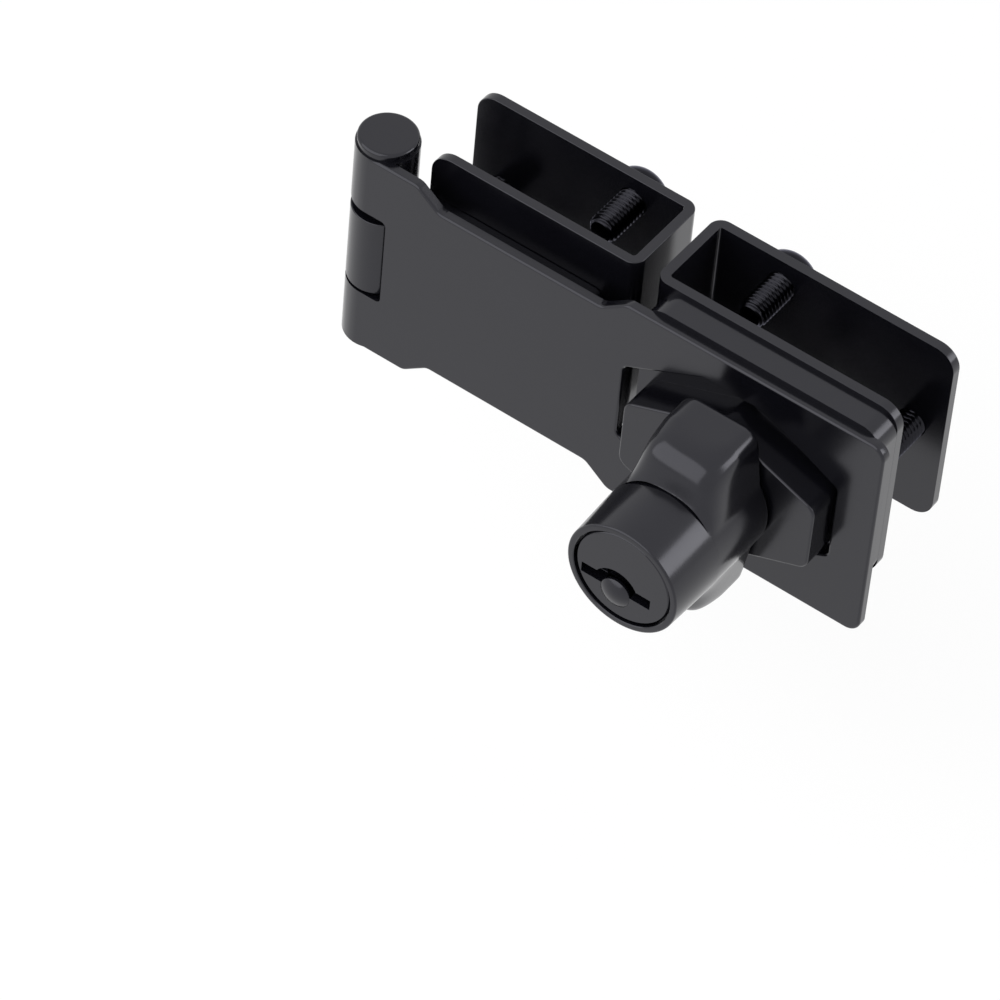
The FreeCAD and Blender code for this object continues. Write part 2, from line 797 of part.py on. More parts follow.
def make_lock_base():
    """The lock base: a block on the right clamp with the six-sided boss through the hasp's slot."""
    body = new_body("lock_base", across="lock_axis")
    block = front_sketch(body, "base_outline", "plate_thickness")
    rectangle(
        block,
        RIGHT_WEB + " + base_inset - lock_axis",
        RIGHT_OPEN + " - lock_axis",
        "clamp_bottom + base_step",
        "clamp_top - base_step",
    )
    pad(body, block, "clamp_front - plate_thickness")
    fillet(body, "base_corners", "clamp_round", lambda edge: is_along(edge, Y_AXIS))
    boss = front_sketch(body, "boss_outline", "0 - boss_rise")
    outline(
        boss,
        [
            ("0 - boss_half_length", "0 - boss_tip_half"),
            ("0", "0 - boss_apex_half"),
            ("boss_half_length", "0 - boss_tip_half"),
            ("boss_half_length", "boss_tip_half"),
            ("0", "boss_apex_half"),
            ("0 - boss_half_length", "boss_tip_half"),
        ],
    )
    pad(body, boss, "boss_rise + plate_thickness")
    front = -SIZES["boss_rise"]
    fillet(
        body,
        "boss_corners",
        "boss_round",
        lambda edge: is_along(edge, Y_AXIS) and abs(edge.BoundBox.YMin - front) < 0.02,
    )
    fillet(body, "boss_front_edge", "boss_edge_round", lambda edge: flat_at(edge, "y", front))
    bore = front_sketch(body, "base_spindle_bore", "0 - boss_rise")
    circle(bore, "0", "0", "spindle_radius + spindle_clearance")
    pocket(body, bore, "boss_rise + clamp_front")
    cavity = front_sketch(body, "base_washer_cavity", CAVITY_FLOOR)
    circle(cavity, "0", "0", "washer_radius + cavity_gap")
    pocket(body, cavity, "cavity_depth")
    travel = front_sketch(body, "base_stop_pocket", CAVITY_FLOOR)
    low = "0 - washer_tab_half - washer_gap"
    far = "washer_tab_reach + cavity_gap"
    rectangle(travel, low, far, low, far)
    pocket(body, travel, "cavity_depth")
    pin_holes = front_sketch(body, "boss_pin_holes", "0 - boss_rise")
    circle(pin_holes, "0", "pin_offset", "lock_pin_radius + lock_pin_clearance")
    circle(pin_holes, "pin_offset", "0", "lock_pin_radius + lock_pin_clearance")
    pocket(body, pin_holes, "lock_pin_hole_depth")
    holes = front_sketch(body, "base_screw_holes", "clamp_front - flush_length + leaf_wall")
    for across, up in base_screw_places():
        circle(holes, across + " - lock_axis", up, "flush_radius + flush_clearance")
    pocket(body, holes, "flush_length")
    return body


def wing_outline(sketch):
    """The grip's six-sided outline, seen from the front."""
    outline(
        sketch,
        [
            ("0 - wing_tip_half", "0 - wing_reach"),
            ("wing_tip_half", "0 - wing_reach"),
            ("wing_root_half", "0"),
            ("wing_tip_half", "wing_reach"),
            ("0 - wing_tip_half", "wing_reach"),
            ("0 - wing_root_half", "0"),
        ],
    )


def make_knob():
    """The cast knob: a grip with two wings that flow into a round nose, bored for the plug."""
    body = new_body("knob", across="lock_axis")
    grip = front_sketch(body, "grip_outline", GRIP_FRONT)
    wing_outline(grip)
    pad(body, grip, "grip_length")
    fronts = sketch_on(body, "wing_front_slopes", "YZ_Plane")
    for sign in ("", "0 - "):
        outline(
            fronts,
            [
                (GRIP_FRONT + " - cut_past", sign + "nose_radius"),
                (GRIP_FRONT, sign + "nose_radius"),
                (GRIP_FRONT + " + wing_set_back", sign + "wing_reach"),
                (GRIP_FRONT + " + wing_set_back", sign + "(wing_reach + cut_past)"),
                (GRIP_FRONT + " - cut_past", sign + "(wing_reach + cut_past)"),
            ],
        )
    pocket_both_ways(body, fronts, "4 * wing_root_half")
    knob_back = -SIZES["boss_rise"] - SIZES["knob_gap"]
    grip_front = knob_back - SIZES["grip_length"]
    tip = SIZES["wing_reach"]
    fillet(
        body,
        "wing_corners",
        "wing_round",
        lambda edge: is_along(edge, Y_AXIS) and abs(abs(edge.BoundBox.Center.z) - tip) < 0.02,
    )
    fillet(
        body,
        "wing_front_edges",
        "wing_front_round",
        lambda edge: edge.BoundBox.YMax < grip_front + SIZES["wing_set_back"] + 0.05
        and abs(edge.BoundBox.Center.z) > SIZES["nose_radius"] + 0.2,
    )
    turned(
        body,
        "nose_profile",
        "XY_Plane",
        [
            ("0", NOSE_FRONT),
            ("nose_radius - nose_edge_round", NOSE_FRONT),
            ("nose_radius", NOSE_FRONT + " + nose_edge_round"),
            ("nose_root_radius", GRIP_FRONT),
            ("nose_root_radius", KNOB_BACK),
            ("0", KNOB_BACK),
        ],
    )
    root = SIZES["nose_root_radius"]
    fillet(
        body,
        "wing_blends",
        "wing_blend",
        lambda edge: is_along(edge, Y_AXIS)
        and abs(math.hypot(edge.BoundBox.Center.x, edge.BoundBox.Center.z) - root) < 0.02
        and abs(edge.BoundBox.Center.x) > root / 2,
    )
    fillet(body, "knob_back_edge", "wing_back_round", lambda edge: flat_at(edge, "y", knob_back))
    bored(
        body,
        "knob_bores",
        "XY_Plane",
        [
            ("0", NOSE_FRONT + " - cut_past"),
            ("rim_radius", NOSE_FRONT + " - cut_past"),
            ("rim_radius", NOSE_FRONT + " + rim_depth"),
            ("plug_radius + plug_clearance", NOSE_FRONT + " + rim_depth"),
            ("plug_radius + plug_clearance", WEB_FRONT),
            ("web_hole_radius", WEB_FRONT),
            ("web_hole_radius", WEB_BACK),
            ("plug_radius", WEB_BACK),
            ("plug_radius", FLANGE_FRONT),
            ("flange_radius + flange_gap", FLANGE_FRONT),
            ("flange_radius + flange_gap", KNOB_BACK + " + cut_past"),
            ("0", KNOB_BACK + " + cut_past"),
        ],
    )
    seat = front_sketch(body, "knob_flange_seat", FLANGE_FRONT)
    reach = "flange_bar_reach + flange_gap"
    half = "flange_bar_half + flange_gap"
    rectangle(seat, "0 - (%s)" % half, half, "0 - (%s)" % reach, reach)
    pocket(body, seat, "2 * flange_wall")
    screw_holes = front_sketch(body, "knob_screw_holes", KNOB_BACK + " - spindle_screw_length - screw_end_gap")
    for up in ("spindle_screw_reach", "0 - spindle_screw_reach"):
        circle(screw_holes, "0", up, "spindle_screw_radius + flush_clearance")
    pocket(body, screw_holes, "spindle_screw_length")
    for side in ("top", "side"):
        groove = front_sketch(
            body, "wafer_groove_" + side, PLUG_FACE + " + plug_face_wall + wafer_first - wafer_wall"
        )
        arched_plate(groove, "wafer_half + groove_gap", "0", "plug_radius + wafer_travel + groove_gap")
        if side == "side":
            groove.AttachmentOffset = FreeCAD.Placement(
                groove.AttachmentOffset.Base, FreeCAD.Rotation(FreeCAD.Vector(0, 0, 1), -90)
            )
        pocket(body, groove, "%d * wafer_pitch" % WAFER_COUNT)
    return body


def make_lock_plug():
    """The key plug: its face with the keyway and the dome, slots for the wafers, and a neck."""
    body = new_body("lock_plug", across="lock_axis")
    turned(
        body,
        "plug_profile",
        "XY_Plane",
        [
            ("0", PLUG_FACE),
            ("plug_face_radius - plug_face_round", PLUG_FACE),
            ("plug_face_radius", PLUG_FACE + " + plug_face_round"),
            ("plug_face_radius", PLUG_FACE + " + plug_face_wall - plug_face_round"),
            ("plug_radius", PLUG_FACE + " + plug_face_wall"),
            ("plug_radius", PLUG_END),
            ("plug_neck_radius", PLUG_END),
            ("plug_neck_radius", CAM_FRONT),
            ("0", CAM_FRONT),
        ],
    )
    mouth = front_sketch(body, "keyway_mouth", PLUG_FACE)
    rectangle(mouth, "0 - keyway_left", "keyway_right", "0 - keyway_low", "0 - keyway_high")
    pocket(body, mouth, "keyway_face_depth")
    arc = front_sketch(body, "keyway_arc", PLUG_FACE)
    half_disc(arc, "0 - dome_side", "0 - keyway_low", "keyway_arc_radius")
    pocket(body, arc, "keyway_face_depth")
    blade = front_sketch(body, "keyway_blade", PLUG_FACE)
    rectangle(blade, "0 - keyway_inner_half", "keyway_inner_half", "0 - keyway_low", "0 - keyway_high")
    pocket(body, blade, "keyway_depth")
    dome = front_sketch(body, "plug_dome", PLUG_FACE + " - dome_rise")
    circle(dome, "0 - dome_side", "0 - dome_drop", "dome_radius")
    pad(body, dome, "dome_rise + keyway_face_depth")
    face = plug_face_value() - SIZES["dome_rise"]
    fillet(body, "dome_edge", "dome_edge_round", lambda edge: flat_at(edge, "y", face))
    for number in range(WAFER_COUNT):
        slot = front_sketch(body, "wafer_slot_%d" % (number + 1), wafer_place(number) + " - wafer_clearance")
        half = "wafer_half + wafer_clearance"
        low = "0 - wafer_low - leaf_spring_room"
        rectangle(slot, "0 - (%s)" % half, half, low, "plug_radius + cut_past")
        pocket(body, slot, "wafer_wall + 2 * wafer_clearance")
    hole = front_sketch(body, "plug_cam_screw_hole", CAM_FRONT + " - cam_screw_length + cam_wall - screw_end_gap")
    circle(hole, "0", "0", "cam_screw_radius + flush_clearance")
    pocket(body, hole, "cam_screw_length")
    return body


def plug_face_value():
    """The plug's front face, as a number for picking edges."""
    knob = SIZES["boss_rise"] + SIZES["knob_gap"] + SIZES["grip_length"] + SIZES["nose_length"]
    return SIZES["plug_set_back"] - knob


def wafer_place(number):
    """The front face of one wafer, counted from the plug's face."""
    return PLUG_FACE + " + plug_face_wall + wafer_first + %d * wafer_pitch" % number


def make_wafer(number):
    """One stamped wafer with its window for the key; a key holds it flush with the plug."""
    body = new_body("wafer_%d" % (number + 1), across="lock_axis")
    blank = front_sketch(body, "wafer_blank_%d" % (number + 1), wafer_place(number))
    arched_plate(blank, "wafer_half", "0 - wafer_low", "plug_radius - wafer_clearance")
    pad(body, blank, "wafer_wall")
    window = front_sketch(body, "wafer_window_%d" % (number + 1), wafer_place(number))
    half = "keyway_inner_half + 4 * wafer_clearance"
    rectangle(window, "0 - (%s)" % half, half, "0 - wafer_window_low", "0 - wafer_window_high")
    pocket(body, window, "wafer_wall")
    return body


def make_wafer_springs():
    """A bowed leaf spring under each wafer, in the foot of its slot."""
    springs = []
    for number in range(WAFER_COUNT):
        name = "wafer_spring_%d" % (number + 1)
        body = new_body(name, across="lock_axis")
        strip = front_sketch(body, name + "_strip", wafer_place(number) + " + wafer_clearance")
        foot = "0 - wafer_low - leaf_spring_room + wafer_clearance"
        crown = "0 - wafer_low - wafer_clearance"
        outline(
            strip,
            [
                ("0 - leaf_spring_half", foot),
                ("0 - leaf_spring_half / 2", crown + " - leaf_spring_bow - leaf_spring_wall"),
                ("0", crown + " - leaf_spring_wall"),
                ("leaf_spring_half / 2", crown + " - leaf_spring_bow - leaf_spring_wall"),
                ("leaf_spring_half", foot),
                ("leaf_spring_half", foot + " + leaf_spring_wall"),
                ("leaf_spring_half / 2", crown + " - leaf_spring_bow"),
                ("0", crown),
                ("0 - leaf_spring_half / 2", crown + " - leaf_spring_bow"),
                ("0 - leaf_spring_half", foot + " + leaf_spring_wall"),
            ],
        )
        pad(body, strip, "wafer_wall - 2 * wafer_clearance")
        springs.append(body)
    return gather("wafer_springs", springs)


def make_cam_disc():
    """The cam on the plug's neck: a disc whose ramp drives the lock pin when the plug turns."""
    body = new_body("cam_disc", across="lock_axis")
    disc = front_sketch(body, "cam_blank", CAM_FRONT)
    circle(disc, "0", "0", "cam_radius")
    pad(body, disc, "cam_wall")
    ramp = front_sketch(body, "cam_ramp", CAM_BACK)
    outline(ramp, [("0 - %s * cos(%d deg)" % corner, "%s * sin(%d deg)" % corner) for corner in RAMP_CORNERS])
    pad(body, ramp, "ramp_rise")
    slope = sketch_on(body, "cam_ramp_slope", "YZ_Plane")
    outline(
        slope,
        [
            (CAM_BACK + " + ramp_rise", "0"),
            (CAM_BACK, "ramp_start"),
            (CAM_BACK, "cam_radius + cut_past"),
            (CAM_BACK + " + ramp_rise + cut_past", "cam_radius + cut_past"),
            (CAM_BACK + " + ramp_rise + cut_past", "0"),
        ],
    )
    pocket_both_ways(body, slope, "4 * cam_radius")
    hole = front_sketch(body, "cam_screw_hole", CAM_FRONT)
    circle(hole, "0", "0", "cam_screw_radius + flush_clearance")
    pocket(body, hole, "2 * cam_wall")
    return body


def make_headed_screw(label, head_front, shank_from, radius, head_radius, head_height, across="lock_axis"):
    """A round-headed screw on the lock axis whose head stands behind its shank."""
    body = new_body(label, across=across)
    turned(
        body,
        label + "_profile",
        "XY_Plane",
        [
            ("0", shank_from),
            (radius, shank_from),
            (radius, head_front),
            (head_radius, head_front),
            (head_radius, "%s + %s * head_rim_share" % (head_front, head_height)),
            (head_radius + " * head_crown_share", "%s + %s" % (head_front, head_height)),
            ("0", "%s + %s" % (head_front, head_height)),
        ],
    )
    return body


def make_lock_pin():
    """The pin that the cam drives back into the boss, which stops the knob from turning."""
    body = new_body("lock_pin", across="lock_axis", up="pin_offset")
    turned(
        body,
        "lock_pin_profile",
        "XY_Plane",
        [
            ("0", PIN_HEAD_FRONT),
            ("lock_pin_head", PIN_HEAD_FRONT),
            ("lock_pin_head", PIN_HEAD_FRONT + " + lock_pin_head_wall"),
            ("lock_pin_radius", PIN_HEAD_FRONT + " + lock_pin_head_wall"),
            ("lock_pin_radius", KNOB_BACK + " - lock_pin_set_back"),
            ("0", KNOB_BACK + " - lock_pin_set_back"),
        ],
    )
    return body


def make_lock_pin_spring():
    """The flat-wire spring round the lock pin, drawn as short as the pin's full travel presses it."""
    half = SIZES["pin_spring_wire"] / 2
    room = SIZES["pin_spring_length"] - 2 * half
    radius = SIZES["pin_spring_radius"]
    path = Part.makeHelix(room / SIZES["pin_spring_turns"], room, radius)
    inner, outer = radius - half, radius + half
    corners = [(inner, -half), (outer, -half), (outer, half), (inner, half), (inner, -half)]
    section = Part.makePolygon([FreeCAD.Vector(across, 0, up) for across, up in corners])
    coil = Part.Wire(path.Edges).makePipeShell([section], True, True)
    coil.Placement = FreeCAD.Placement(FreeCAD.Vector(0, 0, 0), FreeCAD.Rotation(X_AXIS, -90))
    spring = doc.addObject("Part::Feature", "lock_pin_spring")
    spring.Label = "lock_pin_spring"
    spring.Shape = coil
    bind(spring, "Placement.Base.x", "lock_axis - (%s)" % SEAT_MIDDLE)
    bind(spring, "Placement.Base.y", "%s - pin_spring_length + pin_spring_wire / 2 - (%s)" % (FLANGE_FRONT, SEAT))
    bind(spring, "Placement.Base.z", "pin_offset - " + CLAMP_MIDDLE)
    doc.recompute()
    return spring


def make_spindle():
    """The spindle: a turned shaft through the boss, with a flange that closes the knob's back."""
    body = new_body("spindle", across="lock_axis")
    flange = front_sketch(body, "spindle_flange", FLANGE_FRONT)
    circle(flange, "0", "0", "flange_radius")
    pad(body, flange, "flange_wall")
    bar = front_sketch(body, "spindle_bar", FLANGE_FRONT)
    rectangle(bar, "0 - flange_bar_half", "flange_bar_half", "0 - flange_bar_reach", "flange_bar_reach")
    pad(body, bar, "flange_wall")
    shaft = front_sketch(body, "spindle_shaft", KNOB_BACK)
    circle(shaft, "0", "0", "spindle_radius")
    pad(body, shaft, "%s - (%s)" % (CAVITY_FLOOR + " + washer_gap", KNOB_BACK))
    pin_hole = front_sketch(body, "spindle_pin_hole", FLANGE_FRONT)
    circle(pin_hole, "0", "pin_offset", "lock_pin_radius + lock_pin_clearance")
    pocket(body, pin_hole, "2 * flange_wall")
    thread = front_sketch(body, "spindle_retainer_hole", CAVITY_FLOOR + " + washer_gap - retainer_length")
    circle(thread, "0", "0", "retainer_radius + flush_clearance")
    pocket(body, thread, "2 * retainer_length")
    screws = front_sketch(body, "spindle_screw_holes", FLANGE_FRONT)
    for up in ("spindle_screw_reach", "0 - spindle_screw_reach"):
        circle(screws, "0", up, "spindle_screw_head + flush_clearance")
    pocket(body, screws, "2 * flange_wall")
    lips = front_sketch(body, "spindle_screw_lips", FLANGE_FRONT)
    for up in ("spindle_screw_reach", "0 - spindle_screw_reach"):
        circle(lips, "0", up, "spindle_screw_head + 2 * flush_clearance")
        circle(lips, "0", up, "spindle_screw_radius + flush_clearance")
    pad(body, lips, "flange_wall / 2")
    return body


def make_spindle_screws():
    """The two screws that hold the spindle's flange in the knob's back."""
    screws = []
    for number, up in enumerate(("spindle_screw_reach", "0 - spindle_screw_reach"), start=1):
        body = new_body("spindle_screw_%d" % number, across="lock_axis", up=up)
        head_front = FLANGE_FRONT + " + flange_wall / 2"
        turned(
            body,
            "spindle_screw_profile_%d" % number,
            "XY_Plane",
            [
                ("0", KNOB_BACK + " - spindle_screw_length"),
                ("spindle_screw_radius", KNOB_BACK + " - spindle_screw_length"),
                ("spindle_screw_radius", head_front),
                ("spindle_screw_head", head_front),
                ("spindle_screw_head", KNOB_BACK),
                ("0", KNOB_BACK),
            ],
        )
        screws.append(body)
    return gather("spindle_screws", screws)


def make_stop_washer():
    """The washer on the spindle's end, with the tab that stops the knob after a quarter turn."""
    body = new_body("stop_washer", across="lock_axis")
    face = CAVITY_FLOOR + " + washer_gap"
    disc = front_sketch(body, "washer_disc", face)
    circle(disc, "0", "0", "washer_radius")
    pad(body, disc, "washer_wall")
    tab = front_sketch(body, "washer_tab", face)
    rectangle(tab, "0 - washer_tab_half", "washer_tab_half", "0", "washer_tab_reach")
    pad(body, tab, "washer_wall")
    hole = front_sketch(body, "washer_hole", face)
    circle(hole, "0", "0", "retainer_radius + flush_clearance")
    pocket(body, hole, "2 * washer_wall")
    return body


def make_all():
    """Builds every piece and returns the objects to be written out."""
    pieces = [make_hasp_plate(), make_hinge_pin(), make_hinge_leaf()]
    for side in ("left", "right"):
        pieces.append(make_clamp(side))
        for place in ("top", "bottom", "side"):
            pieces.append(make_clamp_screw(side, place))
    pieces.append(make_flush_screws("leaf_screws", leaf_screw_places()))
    pieces.append(make_flush_screws("base_screws", base_screw_places()))
    pieces.append(make_lock_base())
    pieces.append(make_knob())
    pieces.append(make_lock_plug())
    for number in range(WAFER_COUNT):
        pieces.append(make_wafer(number))
    pieces.append(make_wafer_springs())
    pieces.append(make_cam_disc())
    pieces.append(
        make_headed_screw(
            "cam_screw",
            CAM_BACK,
            CAM_BACK + " - cam_screw_length",
            "cam_screw_radius",
            "cam_screw_head",
            "cam_screw_head_height",
        )
    )
    pieces.append(make_lock_pin())
    pieces.append(make_lock_pin_spring())
    pieces.append(make_spindle())
    pieces.append(make_spindle_screws())
    pieces.append(make_stop_washer())
    washer_back = CAVITY_FLOOR + " + washer_gap + washer_wall"
    pieces.append(
        make_headed_screw(
            "retaining_screw",
            washer_back,
            washer_back + " - retainer_length",
            "retainer_radius",
            "retainer_head_radius",
            "retainer_head_height",
        )
    )
    return pieces


def check(pieces):
    """Stops the build if any object failed or any piece is not a sound solid."""
    doc.recompute()
    failed = [item.Name for item in doc.Objects if "Invalid" in item.State or "Error" in item.State]
    if failed:
        raise ValueError("These objects failed: %s" % ", ".join(failed))
    for piece in pieces:
        shape = piece.Shape
        if shape.isNull() or not shape.isValid() or shape.Volume <= 0:
            raise ValueError("%s is not a sound solid" % piece.Label)


def write(pieces):
    """Writes each piece to its own file."""
    os.makedirs("parts", exist_ok=True)
    for piece in pieces:
        piece.Shape.exportStep("parts/%s.step" % piece.Label)
        print("%-20s %8.2f mm3, %d solids" % (piece.Label, piece.Shape.Volume, len(piece.Shape.Solids)))


built = make_all()
check(built)
write(built)
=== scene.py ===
"""A black hasp lock for a pair of glass doors, dressed and lit as a studio picture.

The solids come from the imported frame. Here the castings get their soft edges, the screws their
threads and sockets, and every piece its finish. All lengths are in metres unless a name says mm.
"""

import logging
import math
from dataclasses import dataclass, field
from enum import Enum
from typing import Callable, Dict, Iterable, List, Optional, Tuple

import bmesh
import bpy
from mathutils import Matrix, Vector


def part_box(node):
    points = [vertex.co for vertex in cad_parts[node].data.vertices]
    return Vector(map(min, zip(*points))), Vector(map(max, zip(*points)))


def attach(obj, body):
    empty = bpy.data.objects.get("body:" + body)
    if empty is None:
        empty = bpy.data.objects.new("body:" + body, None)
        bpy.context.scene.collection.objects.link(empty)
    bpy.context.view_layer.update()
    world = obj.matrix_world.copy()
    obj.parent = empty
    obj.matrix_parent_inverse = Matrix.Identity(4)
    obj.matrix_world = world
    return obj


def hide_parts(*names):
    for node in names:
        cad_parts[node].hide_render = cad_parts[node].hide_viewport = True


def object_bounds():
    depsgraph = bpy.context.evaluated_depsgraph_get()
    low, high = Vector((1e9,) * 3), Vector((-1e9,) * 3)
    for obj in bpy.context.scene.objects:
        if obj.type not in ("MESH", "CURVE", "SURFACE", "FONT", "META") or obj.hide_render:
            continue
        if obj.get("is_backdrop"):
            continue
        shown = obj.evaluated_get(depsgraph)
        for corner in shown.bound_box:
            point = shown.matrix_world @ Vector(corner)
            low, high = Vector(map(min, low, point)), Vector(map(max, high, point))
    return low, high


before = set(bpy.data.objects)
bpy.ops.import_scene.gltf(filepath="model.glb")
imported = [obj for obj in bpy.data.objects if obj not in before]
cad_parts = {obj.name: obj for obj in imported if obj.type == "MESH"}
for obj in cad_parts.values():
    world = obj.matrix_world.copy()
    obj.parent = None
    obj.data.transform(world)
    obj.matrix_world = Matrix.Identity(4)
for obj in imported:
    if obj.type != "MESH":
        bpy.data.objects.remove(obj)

MM = 0.001
LOG = logging.getLogger("hasp_lock")
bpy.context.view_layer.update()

# In a copied solid, points nearer than the first are joined, faces that turn by less than the
# second are made one, and edges that turn by more than the third are rounded.
WELD_MM = 0.002
FLAT_DEG = 0.4
CREASE_DEG = 34.0

# A Mix node's colour sockets share their names with its other kinds, so they go by number.
MIX_FIRST, MIX_SECOND, MIX_RESULT = 6, 7, 2

# A ring's radius in metres at one angle, and rings with their places along Y.
RingRadius = Callable[[float], float]
Rings = List[Tuple[float, RingRadius]]


# Finishes


def linear(hex_colour: str) -> Tuple[float, float, float, float]:
    """Turns an sRGB colour such as "#1a1a1c" into linear light.

    Args:
        hex_colour: The colour as six hex digits after a hash.

    Returns:
        Red, green, blue and alpha in linear light.
    """
    channels = []
    for start in (1, 3, 5):
        # The curve is straight near black and a power above.
        value = int(hex_colour[start:start + 2], 16) / 255
        channels.append(value / 12.92 if value <= 0.04045 else ((value + 0.055) / 1.055) ** 2.4)
    return (channels[0], channels[1], channels[2], 1.0)


def per_metre(size_mm: float) -> float:
    """Turns the size of one grain or ripple in millimetres into a texture scale."""
    return 1.0 / (size_mm * MM)


def add_node(tree: bpy.types.NodeTree, kind: str, settings: Dict[str, object],
             links: Dict[str, bpy.types.NodeSocket]) -> bpy.types.Node:
    """Adds one node to a tree.

    Args:
        tree: The node tree of a material or world.
        kind: The node's type name.
        settings: Values by name, for the node's own properties or else its inputs.
        links: Output sockets by the name of the input that they feed.

    Returns:
        The new node.
    """
    node = tree.nodes.new(kind)
    for name, value in settings.items():
        if name in node.inputs:
            node.inputs[name].default_value = value
        else:
            setattr(node, name, value)
    for name, socket in links.items():
        tree.links.new(socket, node.inputs[name])
    return node


@dataclass(frozen=True)
class Finish:
    """How one real surface looks: a base colour with faint clouds, and a fine relief.

    Attributes:
        name: The material's name.
        colour: The surface's main colour.
        cloud: The colour that it drifts towards in soft patches.
        cloud_mm: How large those patches are.
        rough: Roughness where the surface is smoothest.
        rough_high: Roughness where it is dullest.
        grain_mm: The size of one ripple of the relief.
        relief: How strong the relief is.
        metallic: 1 for bare metal, 0 for a coat.
        ior: Index of refraction; a coat of lacquer has the default.
        stretch: How far the grain is drawn out along X, Y and Z; 1 is round.
        sheen: The tint of what it reflects.
    """

    name: str
    colour: str
    cloud: str
    cloud_mm: float
    rough: float
    rough_high: float
    grain_mm: float
    relief: float
    metallic: float = 0.0
    ior: float = 1.5
    stretch: Tuple[float, float, float] = (1.0, 1.0, 1.0)
    sheen: str = "#f4f4ff"

    def material(self) -> bpy.types.Material:
        """Returns the material, made on the first call."""
        found = bpy.data.materials.get(self.name)
        if found is not None:
            return found
        made = bpy.data.materials.new(self.name)
        made.use_nodes = True
        tree = made.node_tree
        tree.nodes.clear()
        place = add_node(tree, "ShaderNodeTexCoord", {}, {})
        drawn = add_node(
            tree, "ShaderNodeMapping",
            {"Scale": self.stretch},
            {"Vector": place.outputs["Object"]},
        )
        patches = add_node(
            tree, "ShaderNodeTexNoise",
            {"Scale": per_metre(self.cloud_mm), "Detail": 3.0, "Roughness": 0.55},
            {"Vector": drawn.outputs["Vector"]},
        )
        grain = add_node(
            tree, "ShaderNodeTexNoise",
            {"Scale": per_metre(self.grain_mm), "Detail": 2.0, "Roughness": 0.5},
            {"Vector": drawn.outputs["Vector"]},
        )
        shade = add_node(
            tree, "ShaderNodeMix",
            {"data_type": "RGBA"},
            {"Factor": patches.outputs["Fac"]},
        )
        shade.inputs[MIX_FIRST].default_value = linear(self.colour)
        shade.inputs[MIX_SECOND].default_value = linear(self.cloud)
        dull = add_node(
            tree, "ShaderNodeMapRange",
            {"From Min": 0.3, "From Max": 0.7, "To Min": self.rough, "To Max": self.rough_high},
            {"Value": patches.outputs["Fac"]},
        )
        relief = add_node(
            tree, "ShaderNodeBump",
            {"Strength": self.relief, "Distance": 0.02 * MM},
            {"Height": grain.outputs["Fac"]},
        )
        surface = add_node(
            tree, "ShaderNodeBsdfPrincipled",
            {"Metallic": self.metallic, "IOR": self.ior, "Specular Tint": linear(self.sheen)},
            {
                "Base Color": shade.outputs[MIX_RESULT],
                "Roughness": dull.outputs["Result"],
                "Normal": relief.outputs["Normal"],
            },
        )
        add_node(tree, "ShaderNodeOutputMaterial", {}, {"Surface": surface.outputs["BSDF"]})
        return made


# Die-cast zinc alloy under a thin, smooth black electro-coat: nearly black, with a clear sheen
# and a very fine orange peel, so that white surroundings lie on it as a soft dark grey.
COATED_ZINC = Finish(
    name="black_coated_zinc", colour="#0a0a0e", cloud="#0d0d12", cloud_mm=9.0,
    rough=0.15, rough_high=0.21, grain_mm=0.9, relief=0.04,
)

# The same coat on the plug's turned brass face, polished a little finer before coating.
COATED_BRASS = Finish(
    name="black_coated_brass", colour="#0a0a0e", cloud="#0e0e13", cloud_mm=5.0,
    rough=0.14, rough_high=0.2, grain_mm=0.5, relief=0.04,
)

# Blackened machine screws: dark metal that keeps its sparkle on thread crests and socket edges.
BLACK_STEEL = Finish(
    name="blackened_steel", colour="#2c2c30", cloud="#212125", cloud_mm=3.0,
    rough=0.15, rough_high=0.24, grain_mm=0.25, relief=0.12, metallic=1.0,
)

# Zinc-plated turned and stamped steel of the lock works: pale grey, drawn out round the turning.
PLATED_STEEL = Finish(
    name="zinc_plated_steel", colour="#b9bbbd", cloud="#a6a9ad", cloud_mm=2.5,
    rough=0.24, rough_high=0.36, grain_mm=0.2, relief=0.15, metallic=1.0,
)

# Stamped sheet brass of the wafers: warm yellow with a faint rolled grain along Z.
SHEET_BRASS = Finish(
    name="stamped_brass", colour="#c9a65a", cloud="#b8934a", cloud_mm=2.0,
    rough=0.28, rough_high=0.4, grain_mm=0.15, relief=0.2, metallic=1.0, stretch=(1.0, 1.0, 0.2),
)

# Hardened spring wire: darker than the plated parts, smooth from drawing.
SPRING_STEEL = Finish(
    name="spring_steel", colour="#8c8d90", cloud="#7b7d81", cloud_mm=2.0,
    rough=0.2, rough_high=0.3, grain_mm=0.2, relief=0.1, metallic=1.0,
)


def dress(piece: bpy.types.Object, finish: Finish) -> None:
    """Gives every material slot of a piece the same finish.

    Args:
        piece: A mesh object, or a node of the frame.
        finish: The finish to give it.
    """
    if not piece.material_slots:
        piece.data.materials.append(None)
    for place in piece.material_slots:
        place.material = finish.material()


# Places and directions


def middle_of(node: str) -> Tuple[float, float]:
    """Returns where the middle of a node's box lies along X and Z."""
    low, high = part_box(node)
    return (low.x + high.x) / 2, (low.z + high.z) / 2


def hinge_point() -> Vector:
    """Returns the hinge axis on the hasp's front face at mid height, where sizes start."""
    plate_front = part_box("hasp_plate")[0].y
    return Vector((middle_of("hinge_pin")[0], plate_front, middle_of("hasp_plate")[1]))


def direction(azimuth: float, elevation: float) -> Vector:
    """Returns the unit vector from the lock towards a lamp or the camera.

    Args:
        azimuth: Degrees round the lock; 0 is in front and 90 to the right.
        elevation: Degrees above the level.

    Returns:
        The direction.
    """
    turn, rise = math.radians(azimuth), math.radians(elevation)
    return Vector((
        math.sin(turn) * math.cos(rise), -math.cos(turn) * math.cos(rise), math.sin(rise),
    ))


